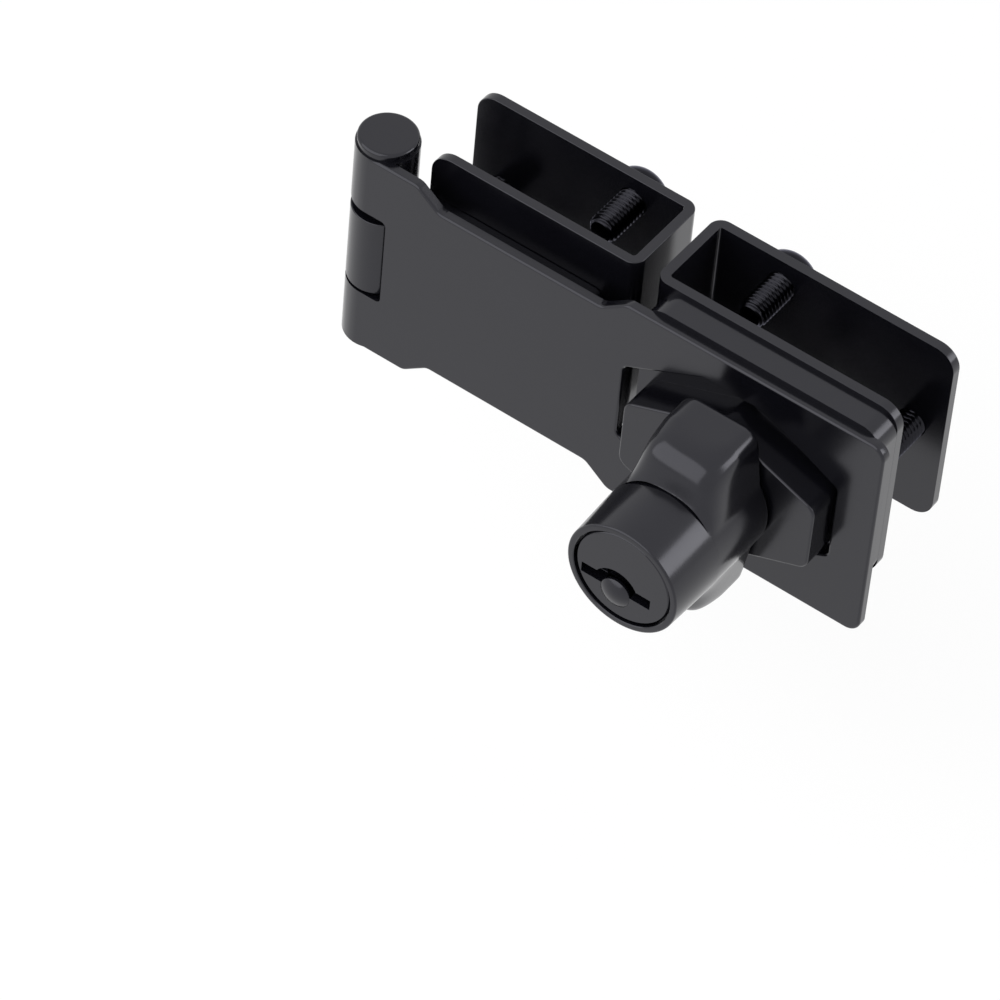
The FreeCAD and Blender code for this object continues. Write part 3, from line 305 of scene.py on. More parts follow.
def ramp(value: float, none_at: float, full_at: float) -> float:
    """Returns how far a value has come from one place to another, between 0 and 1."""
    return min(1.0, max(0.0, (value - none_at) / (full_at - none_at)))


# Meshes


def new_piece(name: str, mesh: bpy.types.Mesh) -> bpy.types.Object:
    """Puts a mesh into the scene as a piece of its own."""
    piece = bpy.data.objects.new(name, mesh)
    bpy.context.scene.collection.objects.link(piece)
    return piece


def smooth(mesh: bpy.types.Mesh, crease_deg: float) -> None:
    """Shades a mesh smoothly, but keeps edges sharper than the given angle crisp."""
    mesh.shade_smooth()
    mesh.set_sharp_from_angle(angle=math.radians(crease_deg))


def settled_mesh(piece: bpy.types.Object) -> bpy.types.Mesh:
    """Returns a piece's mesh with its modifiers worked in."""
    worked = piece.evaluated_get(bpy.context.evaluated_depsgraph_get())
    return bpy.data.meshes.new_from_object(worked)


def mesh_of(work: bmesh.types.BMesh, name: str) -> bpy.types.Mesh:
    """Turns an editable mesh into a plain one and frees it."""
    mesh = bpy.data.meshes.new(name)
    work.to_mesh(mesh)
    work.free()
    return mesh


def copy_of(node: str) -> bmesh.types.BMesh:
    """Copies a node's mesh with its seams joined and its flat faces whole.

    Args:
        node: The node's name in the frame.

    Returns:
        A new editable mesh in the row frame.
    """
    work = bmesh.new()
    work.from_mesh(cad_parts[node].data)
    bmesh.ops.remove_doubles(work, verts=work.verts, dist=WELD_MM * MM)
    bmesh.ops.dissolve_limit(
        work, angle_limit=math.radians(FLAT_DEG), use_dissolve_boundaries=False,
        verts=work.verts, edges=work.edges, delimit=set(),
    )
    bmesh.ops.recalc_face_normals(work, faces=work.faces)
    return work


def soft_edged(node: str, name: str, edge_mm: float,
               trim: Optional[Callable[[bmesh.types.BMesh], None]] = None) -> bpy.types.Object:
    """Makes a casting from a node: the same solid with its sharp edges softly rounded.

    Args:
        node: The node that the new piece stands for.
        name: The new piece's name.
        edge_mm: How far the rounding reaches from an edge.
        trim: Changes the copied mesh before its edges are rounded.

    Returns:
        The new piece.
    """
    work = copy_of(node)
    if trim is not None:
        trim(work)
    piece = new_piece(name, mesh_of(work, name))
    rounding = piece.modifiers.new("soft_edges", "BEVEL")
    rounding.width = edge_mm * MM
    rounding.segments = 3
    rounding.limit_method = "ANGLE"
    rounding.angle_limit = math.radians(CREASE_DEG)
    rounding.use_clamp_overlap = True
    rounding.harden_normals = True
    rounding.miter_outer = "MITER_ARC"
    piece.data.shade_smooth()
    even_faces(piece)
    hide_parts(node)
    return piece


def even_faces(piece: bpy.types.Object) -> None:
    """Lets large flat faces rule the shading, so that the roundings beside them don't tint them."""
    weighing = piece.modifiers.new("even_faces", "WEIGHTED_NORMAL")
    weighing.mode = "FACE_AREA"
    weighing.weight = 100
    weighing.keep_sharp = True


def ring_surface(name: str, rings: Rings, sides: int, hollow: bool = False) -> bpy.types.Mesh:
    """Skins a form from rings round the Y axis, each with its own radius at every angle.

    Args:
        name: The mesh's name.
        rings: Each ring's place on the axis and its radius as a function of the angle.
        sides: How many points each ring has.
        hollow: Joins the last ring to the first, as in a tube with a wall.

    Returns:
        The mesh, with no open edge.
    """
    work = bmesh.new()
    rows: List[List[bmesh.types.BMVert]] = []
    for place, radius_at in rings:
        row = []
        for step in range(sides):
            angle = 2 * math.pi * step / sides
            radius = radius_at(angle)
            row.append(work.verts.new((radius * math.cos(angle), place, radius * math.sin(angle))))
        rows.append(row)
    if hollow:
        rows.append(rows[0])
    for before, after in zip(rows, rows[1:]):
        for step in range(sides):
            following = (step + 1) % sides
            work.faces.new((before[step], before[following], after[following], after[step]))
    if not hollow:
        work.faces.new(list(reversed(rows[0])))
        work.faces.new(rows[-1])
    bmesh.ops.recalc_face_normals(work, faces=work.faces)
    return mesh_of(work, name)


def round_ring(radius: float) -> RingRadius:
    """Returns the radius function of a plain circle."""
    return lambda angle: radius


def hexagon_ring(flat_radius: float) -> RingRadius:
    """Returns the radius function of a hexagon whose flats lie at the given radius."""

    def radius_at(angle: float) -> float:
        """Returns the distance to the hexagon's side at one angle."""
        off_middle = (angle + math.pi / 6) % (math.pi / 3) - math.pi / 6
        return flat_radius / math.cos(off_middle)

    return radius_at


# Sub-assemblies


class Side(Enum):
    """The two doors that the lock joins."""

    LEFT = "left"
    RIGHT = "right"

    @property
    def body(self) -> str:
        """The body that this door's clamp belongs to."""
        return "hinge_side" if self is Side.LEFT else "lock_side"


@dataclass
class SubAssembly:
    """Pieces that are built together.

    Attributes:
        pieces: The pieces built so far.
    """

    pieces: List[bpy.types.Object] = field(default_factory=list)

    def build(self) -> None:
        """Builds and dresses the pieces; each sub-assembly has its own way."""
        raise NotImplementedError

    def keep(self, piece: bpy.types.Object, body: str, slot: str, finish: Finish) -> None:
        """Dresses a new piece and hangs it on its body.

        Args:
            piece: The new piece, already in place.
            body: The body that it moves with.
            slot: The record's material slot that it belongs to; not used.
            finish: Its finish.
        """
        dress(piece, finish)
        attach(piece, body)
        self.pieces.append(piece)

    def carry(self, nodes: Iterable[str], finish: Finish) -> None:
        """Keeps nodes of the frame as they are and gives them a finish.

        Args:
            nodes: The nodes' names.
            finish: Their finish.
        """
        for node in nodes:
            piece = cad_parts[node]
            dress(piece, finish)
            self.pieces.append(piece)

    def report(self) -> None:
        """Logs each piece with its number of faces."""
        for piece in self.pieces:
            LOG.info("%s: %s, %d faces", type(self).__name__, piece.name, len(piece.data.polygons))


@dataclass
class HaspAndHinge(SubAssembly):
    """The hasp plate, the hinge pin with its cap and the fixed hinge leaf.

    Attributes:
        plate_edge_mm: Rounding of the hasp's sharp edges.
        leaf_edge_mm: Rounding of the hinge leaf's edges.
        notch_half_mm: Half the height of the notch between the hasp's knuckles.
        notch_end_mm: How far the notch's front reaches from the hinge axis.
        notch_back_mm: How far it reaches behind the plate.
        notch_round_mm: Rounding of its two corners.
        notch_play_mm: How far the notch is opened upwards and downwards.
        knuckle_half_mm: Half the height of the leaf's knuckle.
        knuckle_top_mm: How much lower the render's knuckle ends at its top.
        knuckle_foot_mm: How much lower it ends at its foot.
        leaf_start_mm: Where the leaf's plate begins, from the hinge axis.
        near_mm: How near a point lies to a face that it belongs to.
        end_near_mm: How near an edge lies to the notch's front.
        straight: How closely an edge runs front to back, as a cosine.
    """

    plate_edge_mm: float = 0.2
    leaf_edge_mm: float = 0.2
    notch_half_mm: float = 8.3
    notch_end_mm: float = 4.02
    notch_back_mm: float = 5.4
    notch_round_mm: float = 0.9
    notch_play_mm: float = 0.3
    knuckle_half_mm: float = 7.8
    knuckle_top_mm: float = 1.0
    knuckle_foot_mm: float = 0.3
    leaf_start_mm: float = 7.1
    near_mm: float = 0.02
    end_near_mm: float = 0.05
    straight: float = 0.99

    def trim_notch(self, work: bmesh.types.BMesh) -> None:
        """Opens the hasp's notch a little and rounds its two corners."""
        hinge = hinge_point()
        corners = []
        for vert in work.verts:
            across, _, up = (vert.co - hinge) / MM
            if abs(abs(up) - self.notch_half_mm) < self.near_mm and across < self.notch_back_mm:
                vert.co.z += math.copysign(self.notch_play_mm * MM, up)
        opened_mm = self.notch_half_mm + self.notch_play_mm
        for edge in work.edges:
            first, second = (vert.co for vert in edge.verts)
            across, _, up = ((first + second) / 2 - hinge) / MM
            on_side = abs(abs(up) - opened_mm) < self.near_mm
            at_end = abs(across - self.notch_end_mm) < self.end_near_mm
            if on_side and at_end and abs((first - second).normalized().y) > self.straight:
                corners.append(edge)
        bmesh.ops.bevel(
            work, geom=corners, offset=self.notch_round_mm * MM,
            segments=8, profile=0.5, affect="EDGES",
        )

    def trim_knuckle(self, work: bmesh.types.BMesh) -> None:
        """Gives the leaf's knuckle the play that shows above it."""
        hinge = hinge_point()
        for vert in work.verts:
            across, _, up = (vert.co - hinge) / MM
            if across < self.leaf_start_mm and abs(abs(up) - self.knuckle_half_mm) < self.near_mm:
                lowering_mm = self.knuckle_top_mm if up > 0.0 else self.knuckle_foot_mm
                vert.co.z -= lowering_mm * MM

    def build(self) -> None:
        """Builds and dresses the three pieces."""
        plate = soft_edged("hasp_plate", "hasp_casting", self.plate_edge_mm, self.trim_notch)
        self.keep(plate, "lock_side", "coated_zinc", COATED_ZINC)
        leaf = soft_edged("hinge_leaf", "hinge_leaf_casting", self.leaf_edge_mm, self.trim_knuckle)
        self.keep(leaf, "hinge_side", "coated_zinc", COATED_ZINC)
        self.carry(["hinge_pin"], COATED_ZINC)


@dataclass
class Clamps(SubAssembly):
    """The two U clamps and the flush screws behind them.

    Attributes:
        edge_mm: Rounding of the leaves' edges.
    """

    edge_mm: float = 0.16

    def build(self) -> None:
        """Builds and dresses both clamps."""
        for side in Side:
            node = side.value + "_clamp"
            clamp = soft_edged(node, node + "_casting", self.edge_mm)
            self.keep(clamp, side.body, "coated_zinc", COATED_ZINC)
        self.carry(["leaf_screws", "base_screws"], BLACK_STEEL)


@dataclass
class ClampScrews(SubAssembly):
    """Six button-head machine screws with hexagon sockets and real threads.

    Attributes:
        crest_mm: Thread radius over the crests.
        depth_mm: Thread depth.
        pitch_mm: Thread pitch.
        root_share: Where a flank begins between the root, 0, and the crest, 1.
        crest_share: Where it ends.
        runout_pitches: Pitches over which the thread deepens from the tip.
        thread_start_mm: Where the thread begins.
        tip_inset_mm: How far the tip's end face lies inside the root.
        lead_mm: How much narrower the crests are at the tip.
        lead_length_mm: Over what length they widen.
        head_radius_mm: Head radius.
        head_height_mm: Head height.
        collar_mm: How far the head's seat begins outside the crests.
        under_head_mm: The head's lower edge, as heights and insets from its radius.
        rim_mm: Height at which the crown begins.
        crown_steps: Rings over the crown.
        crown_flat_mm: How much wider than the socket's corners the crown's flat top is.
        socket_flat_mm: Distance from the middle of the socket to a flat.
        corner_share: A socket's corner radius, as a share of the flat's distance.
        mouth_share: The radius of the socket's round mouth, as such a share.
        mouth_mm: The socket's lead-in, as depths and widenings.
        socket_depth_mm: Depth of the socket.
        drill_mm: Depth and radius of the drill's mark at its foot.
        sides: Points round each ring.
        rows_per_turn: Rings along one thread pitch.
        crease_deg: Edges sharper than this stay crisp.
    """

    crest_mm: float = 2.43
    depth_mm: float = 0.42
    pitch_mm: float = 0.8
    root_share: float = 0.1
    crest_share: float = 0.88
    runout_pitches: float = 1.2
    thread_start_mm: float = 0.04
    tip_inset_mm: float = 0.45
    lead_mm: float = 0.28
    lead_length_mm: float = 0.5
    head_radius_mm: float = 4.7
    head_height_mm: float = 2.75
    collar_mm: float = 0.15
    under_head_mm: Tuple[Tuple[float, float], ...] = ((0.0, 0.25), (0.12, 0.05))
    rim_mm: float = 0.45
    crown_steps: int = 14
    crown_flat_mm: float = 0.3
    socket_flat_mm: float = 1.5
    corner_share: float = 1.35
    mouth_share: float = 1.2
    mouth_mm: Tuple[Tuple[float, float], ...] = ((0.06, 0.05), (0.18, 0.0))
    socket_depth_mm: float = 1.6
    drill_mm: Tuple[float, float] = (0.25, 0.3)
    sides: int = 48
    rows_per_turn: int = 10
    crease_deg: float = 40.0

    def thread_ring(self, place_mm: float, length_mm: float) -> RingRadius:
        """Returns the thread's radius round the screw at one place.

        Args:
            place_mm: Distance from the screw's tip.
            length_mm: Length of the shank.

        Returns:
            The radius in metres as a function of the angle.
        """
        at_tip = ramp(place_mm, 0.0, self.runout_pitches * self.pitch_mm)
        at_head = ramp(length_mm - place_mm, 0.0, self.pitch_mm)
        lead = self.lead_mm * (1.0 - ramp(place_mm, 0.0, self.lead_length_mm))

        def radius_at(angle: float) -> float:
            """Returns the radius on the thread's flank, crest or root at one angle."""
            phase = (place_mm / self.pitch_mm + angle / (2 * math.pi)) % 1.0
            rise = ramp(1.0 - abs(2 * phase - 1.0), self.root_share, self.crest_share)
            cut = self.depth_mm * (1.0 - rise * at_tip) * at_head
            return (self.crest_mm - cut - lead) * MM

        return radius_at

    def head_rings(self, start_mm: float) -> Rings:
        """Returns the rings of the head, from under its rim over the crown into the socket.

        Args:
            start_mm: Where the head begins, counted from the tip.

        Returns:
            Rings as place and radius function, in metres.
        """
        profile = [(0.0, self.crest_mm + self.collar_mm)]
        profile += [(up, self.head_radius_mm - inset) for up, inset in self.under_head_mm]
        flat_top = self.socket_flat_mm * self.corner_share + self.crown_flat_mm
        for step in range(self.crown_steps + 1):
            turn = math.pi / 2 * step / self.crown_steps
            up = self.rim_mm + (self.head_height_mm - self.rim_mm) * math.sin(turn)
            profile.append((up, flat_top + (self.head_radius_mm - flat_top) * math.cos(turn)))
        profile.append((self.head_height_mm, self.socket_flat_mm * self.mouth_share))
        rings = [((start_mm + up) * MM, round_ring(radius * MM)) for up, radius in profile]
        top = start_mm + self.head_height_mm
        for depth, widening in self.mouth_mm + ((self.socket_depth_mm, 0.0),):
            rings.append(((top - depth) * MM, hexagon_ring((self.socket_flat_mm + widening) * MM)))
        mark_depth, mark_radius = self.drill_mm
        foot = top - self.socket_depth_mm - mark_depth
        rings.append((foot * MM, round_ring(mark_radius * MM)))
        return rings

    def mesh(self, length_mm: float) -> bpy.types.Mesh:
        """Makes the mesh that all six screws share, tip at the origin and head towards +Y."""
        tip_radius = self.crest_mm - self.depth_mm - self.tip_inset_mm
        rings: Rings = [(0.0, round_ring(tip_radius * MM))]
        step_mm = self.pitch_mm / self.rows_per_turn
        for index in range(int(length_mm / step_mm)):
            place = self.thread_start_mm + index * step_mm
            if place < length_mm:
                rings.append((place * MM, self.thread_ring(place, length_mm)))
        rings.extend(self.head_rings(length_mm))
        mesh = ring_surface("clamp_screw", rings, self.sides)
        smooth(mesh, self.crease_deg)
        return mesh

    def build(self) -> None:
        """Places one screw for each node."""
        low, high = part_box("left_screw_top")
        length_mm = (high.y - low.y) / MM - self.head_height_mm
        shared = self.mesh(length_mm)
        for side in Side:
            for place in ("top", "bottom", "side"):
                node = "%s_screw_%s" % (side.value, place)
                across, up = middle_of(node)
                screw = new_piece(node + "_threaded", shared)
                screw.location = (across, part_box(node)[0].y, up)
                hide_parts(node)
                self.keep(screw, node, "coated_steel", BLACK_STEEL)


@dataclass
class LockHead(SubAssembly):
    """The lock base with its boss, the twist knob and the key plug in its nose.

    Attributes:
        base_edge_mm: Rounding of the base's edges.
        plug_edge_mm: Rounding of the plug's edges.
        net_mm: Size of the net that the grip's skin is drawn with.
        relax_factor: How far each relaxing of that skin goes.
        blend_rounds: How often the whole skin is relaxed into its cast blends.
        flank_rounds: How often the wings' fronts and flanks are relaxed before that.
        flank_across_mm: Where the flanks' relaxing begins and is full, off the axis.
        flank_up_mm: The same above and below the axis.
        flank_back_mm: The same behind the grip's front.
        front_up_mm: Where the wing fronts' relaxing begins and is full, off the axis.
        front_back_mm: The same behind the grip's front.
        root_margin_mm: Where all relaxing begins and is full, outside the nose's root.
        crease_deg: Edges of the knob sharper than this stay crisp.
        nose_mm: How far the nose stands out of the grip.
        nose_radius_mm: The nose's radius at its front.
        root_radius_mm: Its radius where it leaves the grip.
        root_overlap_mm: How much wider it is there, to cover the cut in the skin.
        root_inset_mm: How much narrower its wall ends inside the grip.
        root_steps_mm: Its steps from there to the grip's front, as depths and insets.
        rim_radius_mm: Radius of the plug's seat in the nose.
        rim_depth_mm: Depth of that seat.
        bore_radius_mm: Radius of the bore behind the seat.
        groove_radius_mm: Radius of the two grooves that the wafers spring into.
        groove_half_mm: Half the width of a groove.
        groove_start_mm: Where the grooves begin, counted from the nose's front.
        groove_end_mm: Where they end.
        groove_wall_mm: Length of a groove's end wall.
        groove_room_mm: How far round the grooves the grip's own bore is taken out.
        hidden_mm: How far the turned bore goes on behind the grooves.
        rim_round_mm: Rounding of the nose's outer edge.
        rim_steps: Rings over that rounding.
        seat_edge_mm: Bevel of the seat's edge.
        dome_radius_mm: Radius of the dome on the plug's face.
        dome_rise_mm: How far the dome stands out.
        dome_side_mm: How far left of the plug's axis it stands.
        dome_drop_mm: How far below the plug's axis it stands.
        dome_foot_mm: How far it reaches into the plug.
        dome_steps: Rings over the dome.
        dome_open_steps: By how much of a step the last ring stays off the middle.
        dome_sides: Points round each of them.
        near_mm: How far a point stands out of the plug's face before it counts as the dome's.
        sides: Points round each of the nose's rings.
    """

    base_edge_mm: float = 0.14
    plug_edge_mm: float = 0.16
    net_mm: float = 0.26
    relax_factor: float = 0.5
    blend_rounds: int = 16
    flank_rounds: int = 700
    flank_across_mm: Tuple[float, float] = (3.0, 4.5)
    flank_up_mm: Tuple[float, float] = (15.0, 12.0)
    flank_back_mm: Tuple[float, float] = (11.0, 4.0)
    front_up_mm: Tuple[float, float] = (9.0, 12.0)
    front_back_mm: Tuple[float, float] = (8.0, 4.0)
    root_margin_mm: Tuple[float, float] = (0.1, 0.9)
    crease_deg: float = 30.0
    nose_mm: float = 10.25
    nose_radius_mm: float = 9.7
    root_radius_mm: float = 10.05
    root_overlap_mm: float = 0.02
    root_inset_mm: float = 0.7
    root_steps_mm: Tuple[Tuple[float, float], ...] = ((1.2, 0.6), (0.3, 0.0), (-0.01, 0.0))
    rim_radius_mm: float = 8.6
    rim_depth_mm: float = 1.5
    bore_radius_mm: float = 8.06
    groove_radius_mm: float = 8.9
    groove_half_mm: float = 5.3
    groove_start_mm: float = 3.7
    groove_end_mm: float = 12.5
    groove_wall_mm: float = 0.02
    groove_room_mm: float = 0.15
    hidden_mm: float = 0.1
    rim_round_mm: float = 0.35
    rim_steps: int = 6
    seat_edge_mm: float = 0.12
    dome_radius_mm: float = 2.6
    dome_rise_mm: float = 0.8
    dome_side_mm: float = 1.0
    dome_drop_mm: float = 3.9
    dome_foot_mm: float = 0.5
    dome_steps: int = 12
    dome_open_steps: float = 0.4
    dome_sides: int = 64
    near_mm: float = 0.01
    sides: int = 160

    def knob(self) -> bpy.types.Object:
        """Makes the knob: a grip whose corners run together, and a crisp turned nose."""
        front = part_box("knob")[0].y
        across, up = middle_of("knob")
        skin = self.grip_skin(front, across, up)
        nose = ring_surface("nose", self.nose_rings(front), self.sides, hollow=True)
        nose.transform(Matrix.Translation((across, 0.0, up)))
        skin.from_mesh(nose)
        mesh = mesh_of(skin, "knob_casting")
        smooth(mesh, self.crease_deg)
        piece = new_piece("knob_casting", mesh)
        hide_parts("knob")
        return piece

    def grip_skin(self, front: float, across: float, up: float) -> bmesh.types.BMesh:
        """Draws a fine skin over the knob's solid, relaxes it and cuts the nose off it.

        Args:
            front: Where the knob's nose ends, along Y.
            across: Where its axis lies, along X.
            up: Where its axis lies, along Z.

        Returns:
            The grip's skin, open where the turned nose goes.
        """
        grip = new_piece("grip_solid", mesh_of(copy_of("knob"), "grip_solid"))
        net = grip.modifiers.new("net", "REMESH")
        net.mode = "VOXEL"
        net.voxel_size = self.net_mm * MM
        grip.data = settled_mesh(grip)
        grip.modifiers.clear()
        grip_front = front + self.nose_mm * MM
        flanks = self.weigh_flanks(grip, Vector((across, grip_front, up)))
        for name, group, rounds in (
            ("flank_rounds", flanks, self.flank_rounds), ("blends", "", self.blend_rounds),
        ):
            relaxing = grip.modifiers.new(name, "SMOOTH")
            relaxing.vertex_group = group
            relaxing.factor = self.relax_factor
            relaxing.iterations = rounds
        skin = bmesh.new()
        skin.from_mesh(settled_mesh(grip))
        bpy.data.objects.remove(grip)
        bmesh.ops.bisect_plane(
            skin, geom=skin.verts[:] + skin.edges[:] + skin.faces[:],
            plane_co=(0.0, grip_front, 0.0), plane_no=(0.0, -1.0, 0.0), clear_outer=True,
        )
        bore_end = front + self.groove_end_mm * MM
        reach = (self.groove_radius_mm + self.groove_room_mm) * MM
        bore = [
            vert for vert in skin.verts
            if vert.co.y < bore_end and math.hypot(vert.co.x - across, vert.co.z - up) < reach
        ]
        bmesh.ops.delete(skin, geom=bore, context="VERTS")
        return skin

    def weigh_flanks(self, grip: bpy.types.Object, middle: Vector) -> str:
        """Marks the wings' fronts and the front edges of their flanks, which are rounded most.

        Args:
            grip: The grip's mesh object.
            middle: The point on the knob's axis where the nose leaves the grip.

        Returns:
            The name of the vertex group.
        """
        group = grip.vertex_groups.new(name="flank_fronts")
        margins = [self.root_radius_mm + margin for margin in self.root_margin_mm]
        for vert in grip.data.vertices:
            across, back, up = (vert.co - middle) / MM
            outside = ramp(math.hypot(across, up), *margins)
            on_flank = ramp(abs(across), *self.flank_across_mm) * ramp(abs(up), *self.flank_up_mm)
            on_flank *= ramp(back, *self.flank_back_mm)
            on_front = ramp(abs(up), *self.front_up_mm) * ramp(back, *self.front_back_mm)
            weight = outside * max(on_flank, on_front)
            if weight > 0.0:
                group.add([vert.index], weight, "REPLACE")
        return group.name

    def nose_rings(self, front: float) -> Rings:
        """Returns the nose's rings, from inside the grip over its rim to the bore and back inside.

        Args:
            front: Where the nose ends, along Y.

        Returns:
            Rings as place and radius function, in metres.
        """
        hidden_end = self.groove_end_mm + self.hidden_mm
        root = self.root_radius_mm + self.root_overlap_mm
        profile = [(hidden_end, root - self.root_inset_mm)]
        profile += [(self.nose_mm + depth, root - inset) for depth, inset in self.root_steps_mm]
        for step in range(self.rim_steps + 1):
            turn = math.pi / 2 * step / self.rim_steps
            profile.append((
                self.rim_round_mm * (1 - math.sin(turn)),
                self.nose_radius_mm - self.rim_round_mm * (1 - math.cos(turn)),
            ))
        profile += [
            (0.0, self.rim_radius_mm + self.seat_edge_mm),
            (self.seat_edge_mm, self.rim_radius_mm),
            (self.rim_depth_mm, self.rim_radius_mm),
            (self.rim_depth_mm, self.bore_radius_mm),
            (self.groove_start_mm, self.bore_radius_mm),
        ]
        rings = [(front + place * MM, round_ring(radius * MM)) for place, radius in profile]
        for place in (
            self.groove_start_mm + self.groove_wall_mm, self.groove_end_mm - self.groove_wall_mm,
        ):
            rings.append((front + place * MM, self.grooved_bore))
        for place in (self.groove_end_mm, hidden_end):
            rings.append((front + place * MM, round_ring(self.bore_radius_mm * MM)))
        return rings

    def grooved_bore(self, angle: float) -> float:
        """Returns the bore's radius at one angle; its top and right side are grooved."""
        across, up = math.cos(angle), math.sin(angle)
        corner = self.groove_half_mm / self.groove_radius_mm
        radius = self.bore_radius_mm
        for along, beside in ((up, across), (across, up)):
            if along > 0.0:
                radius = max(radius, self.groove_half_mm / max(abs(beside), corner))
        return radius * MM

    def plug(self) -> bpy.types.Object:
        """Makes the key plug: the node's solid, with a shallow round dome below the keyway."""
        piece = soft_edged("lock_plug", "key_plug", self.plug_edge_mm)
        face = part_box("lock_plug")[0].y + self.dome_rise_mm * MM
        across, up = middle_of("lock_plug")
        work = bmesh.new()
        work.from_mesh(piece.data)
        solid_dome = [vert for vert in work.verts if vert.co.y < face - self.near_mm * MM]
        bmesh.ops.delete(work, geom=solid_dome, context="VERTS")
        dome = ring_surface("dome", self.dome_rings(face), self.dome_sides)
        aside, below = self.dome_side_mm * MM, self.dome_drop_mm * MM
        dome.transform(Matrix.Translation((across - aside, 0.0, up - below)))
        work.from_mesh(dome)
        work.to_mesh(piece.data)
        work.free()
        piece.data.shade_smooth()
        return piece

    def dome_rings(self, face: float) -> Rings:
        """Returns the rings of the dome, a cap cut from a ball, from its foot to its top.

        Args:
            face: Where the plug's face lies, along Y.

        Returns:
            Rings as place and radius function, in metres.
        """
        ball = (self.dome_radius_mm ** 2 + self.dome_rise_mm ** 2) / (2 * self.dome_rise_mm)
        reach = math.asin(self.dome_radius_mm / ball)
        rings: Rings = [(face + self.dome_foot_mm * MM, round_ring(self.dome_radius_mm * MM))]
        for step in range(self.dome_steps + 1):
            turn = reach * (1 - step / (self.dome_steps + self.dome_open_steps))
            rise = ball * math.cos(turn) - ball + self.dome_rise_mm
            rings.append((face - rise * MM, round_ring(ball * math.sin(turn) * MM)))
        return rings

    def build(self) -> None:
        """Builds and dresses the base, the knob and the plug."""
        base = soft_edged("lock_base", "lock_base_casting", self.base_edge_mm)
        self.keep(base, "lock_side", "coated_zinc", COATED_ZINC)
        self.keep(self.knob(), "knob", "coated_zinc", COATED_ZINC)
        self.keep(self.plug(), "plug", "coated_brass", COATED_BRASS)


@dataclass
class LockWorks(SubAssembly):
    """The hidden works: wafers, springs, cam, lock pin, spindle and its fixings."""

    def build(self) -> None:
        """Dresses each hidden piece as what it is made of."""
        self.carry(["wafer_1", "wafer_2", "wafer_3", "wafer_4"], SHEET_BRASS)
        self.carry(["wafer_springs", "lock_pin_spring"], SPRING_STEEL)
        self.carry(
            [
                "cam_disc", "cam_screw", "lock_pin", "spindle", "spindle_screws",
                "stop_washer", "retaining_screw",
            ],
            PLATED_STEEL,
        )


# Studio


@dataclass(frozen=True)
class Lamp:
    """A softbox that points at the lock.

    Attributes:
        name: The lamp's name.
        azimuth: Where it stands, in degrees round the lock; 0 is in front and 90 to the right.
        elevation: How high it stands, in degrees.
        distance: How far away it stands.
        width: Its width.
        height: Its height.
        power: Its power in watts.
    """

    name: str
    azimuth: float
    elevation: float
    distance: float
    width: float
    height: float
    power: float

    def hang(self, aim: Vector) -> None:
        """Puts the lamp into the scene, facing the aim."""
        data = bpy.data.lights.new(self.name, "AREA")
        data.shape = "RECTANGLE"
        data.size = self.width
        data.size_y = self.height
        data.energy = self.power
        lamp = bpy.data.objects.new(self.name, data)
        bpy.context.scene.collection.objects.link(lamp)
        away = direction(self.azimuth, self.elevation)
        lamp.location = aim + away * self.distance
        lamp.rotation_euler = away.to_track_quat("Z", "Y").to_euler()


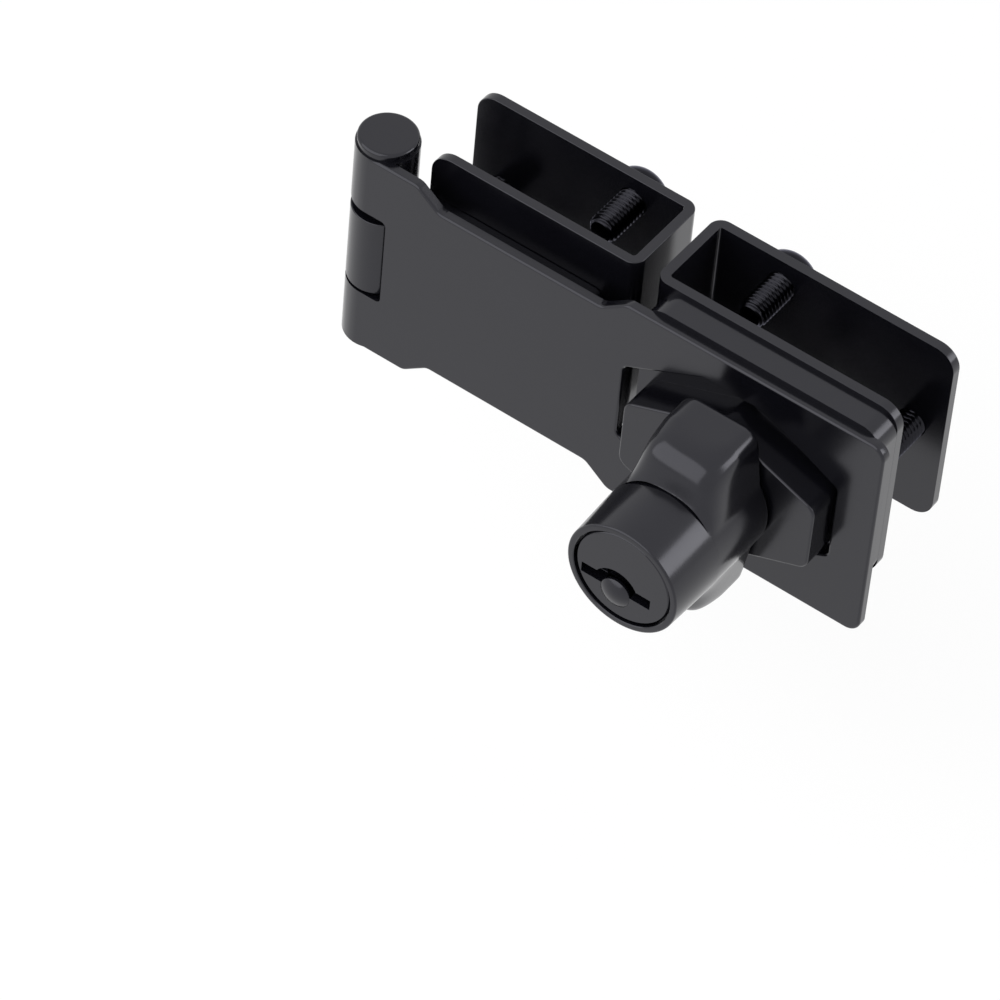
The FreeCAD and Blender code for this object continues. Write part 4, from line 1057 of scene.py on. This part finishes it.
@dataclass
class Studio:
    """Floor, surroundings, lamps and the camera.

    Attributes:
        azimuth: The camera's place round the lock, in degrees to the right of the front.
        elevation: Its height in degrees.
        roll: How far it is rolled, in degrees.
        distance_mm: Its distance from the point that it looks at.
        aim_mm: That point, counted from the hinge axis on the hasp's front face, mid height.
        lens_mm: Focal length.
        sensor_mm: Width of the sensor behind the lens.
        clip_start: How near to the camera the picture begins.
        floor_drop_mm: How far the floor lies under the lock.
        floor_half: Half the floor's length.
        floor_glow: How much of the floor's white is its own, as a share.
        room_light: How strongly the room lights dull surfaces, where white is 1.
        lamps: The softboxes.
    """

    azimuth: float = 31.992
    elevation: float = 47.648
    roll: float = 5.584
    distance_mm: float = 1131.69
    aim_mm: Tuple[float, float, float] = (28.865, 0.0, -35.537)
    lens_mm: float = 265.99
    sensor_mm: float = 36.0
    clip_start: float = 0.01
    floor_drop_mm: float = 60.0
    floor_half: float = 3.0
    floor_glow: float = 0.75
    room_light: float = 0.8
    lamps: Tuple[Lamp, ...] = (
        Lamp("front_softbox", -26.0, 36.0, 0.8, 1.2, 1.1, 5.5),
        Lamp("right_softbox", 118.0, 24.0, 0.8, 0.4, 0.4, 1.6),
    )

    def camera(self) -> None:
        """Places the camera where the picture was taken from."""
        turn, roll = math.radians(self.azimuth), math.radians(self.roll)
        back = direction(self.azimuth, self.elevation)
        level = Vector((math.cos(turn), math.sin(turn), 0.0))
        upright = back.cross(level)
        right = level * math.cos(roll) + upright * math.sin(roll)
        up = upright * math.cos(roll) - level * math.sin(roll)
        aim = hinge_point() + Vector(self.aim_mm) * MM
        data = bpy.data.cameras.new("camera")
        data.lens = self.lens_mm
        data.sensor_width = self.sensor_mm
        data.clip_start = self.clip_start
        camera = bpy.data.objects.new("camera", data)
        bpy.context.scene.collection.objects.link(camera)
        axes = Matrix((right, up, back)).transposed().to_4x4()
        camera.matrix_world = Matrix.Translation(aim + back * self.distance_mm * MM) @ axes
        bpy.context.scene.camera = camera

    def seen(self, tree: bpy.types.NodeTree) -> bpy.types.NodeSocket:
        """Returns an output that is 1 where the room is seen, directly or in a mirror or glass.

        Args:
            tree: The node tree of the room or the floor.

        Returns:
            The output socket.
        """
        rays = add_node(tree, "ShaderNodeLightPath", {}, {})
        seen = rays.outputs["Is Camera Ray"]
        for kind in ("Is Glossy Ray", "Is Transmission Ray"):
            either = add_node(tree, "ShaderNodeMath", {"operation": "MAXIMUM"}, {})
            tree.links.new(seen, either.inputs[0])
            tree.links.new(rays.outputs[kind], either.inputs[1])
            seen = either.outputs["Value"]
        return seen

    def surroundings(self) -> None:
        """Makes the even white room."""
        world = bpy.data.worlds.new("white_room")
        world.use_nodes = True
        bpy.context.scene.world = world
        tree = world.node_tree
        tree.nodes.clear()
        strength = add_node(
            tree, "ShaderNodeMapRange",
            {"To Min": self.room_light, "To Max": 1.0},
            {"Value": self.seen(tree)},
        )
        glow = add_node(
            tree, "ShaderNodeBackground",
            {"Color": linear("#ffffff")},
            {"Strength": strength.outputs["Result"]},
        )
        add_node(tree, "ShaderNodeOutputWorld", {}, {"Surface": glow.outputs["Background"]})

    def floor(self) -> None:
        """Lays the pale floor under the lock."""
        low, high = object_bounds()
        work = bmesh.new()
        bmesh.ops.create_grid(work, x_segments=8, y_segments=8, size=self.floor_half)
        floor = new_piece("floor", mesh_of(work, "floor"))
        under = low.z - self.floor_drop_mm * MM
        floor.location = ((low.x + high.x) / 2, (low.y + high.y) / 2, under)
        paper = bpy.data.materials.new("pale_paper")
        paper.use_nodes = True
        tree = paper.node_tree
        tree.nodes.clear()
        matt = add_node(tree, "ShaderNodeBsdfDiffuse", {"Color": linear("#f4f4f4")}, {})
        glow = add_node(
            tree, "ShaderNodeEmission", {"Color": linear("#ffffff")}, {"Strength": self.seen(tree)},
        )
        both = add_node(tree, "ShaderNodeMixShader", {"Fac": self.floor_glow}, {})
        tree.links.new(matt.outputs["BSDF"], both.inputs[1])
        tree.links.new(glow.outputs["Emission"], both.inputs[2])
        add_node(tree, "ShaderNodeOutputMaterial", {}, {"Surface": both.outputs["Shader"]})
        floor.data.materials.append(paper)
        floor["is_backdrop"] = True

    def build(self) -> None:
        """Sets up the whole studio."""
        bpy.context.scene.view_settings.view_transform = "Standard"
        low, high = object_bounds()
        for lamp in self.lamps:
            lamp.hang((low + high) / 2)
        self.surroundings()
        self.floor()
        self.camera()


def main() -> None:
    """Builds every sub-assembly, then the studio."""
    logging.basicConfig(level=logging.INFO, format="%(name)s: %(message)s")
    for assembly in (HaspAndHinge(), Clamps(), ClampScrews(), LockHead(), LockWorks()):
        assembly.build()
        assembly.report()
    Studio().build()


if __name__ == "__main__":
    main()
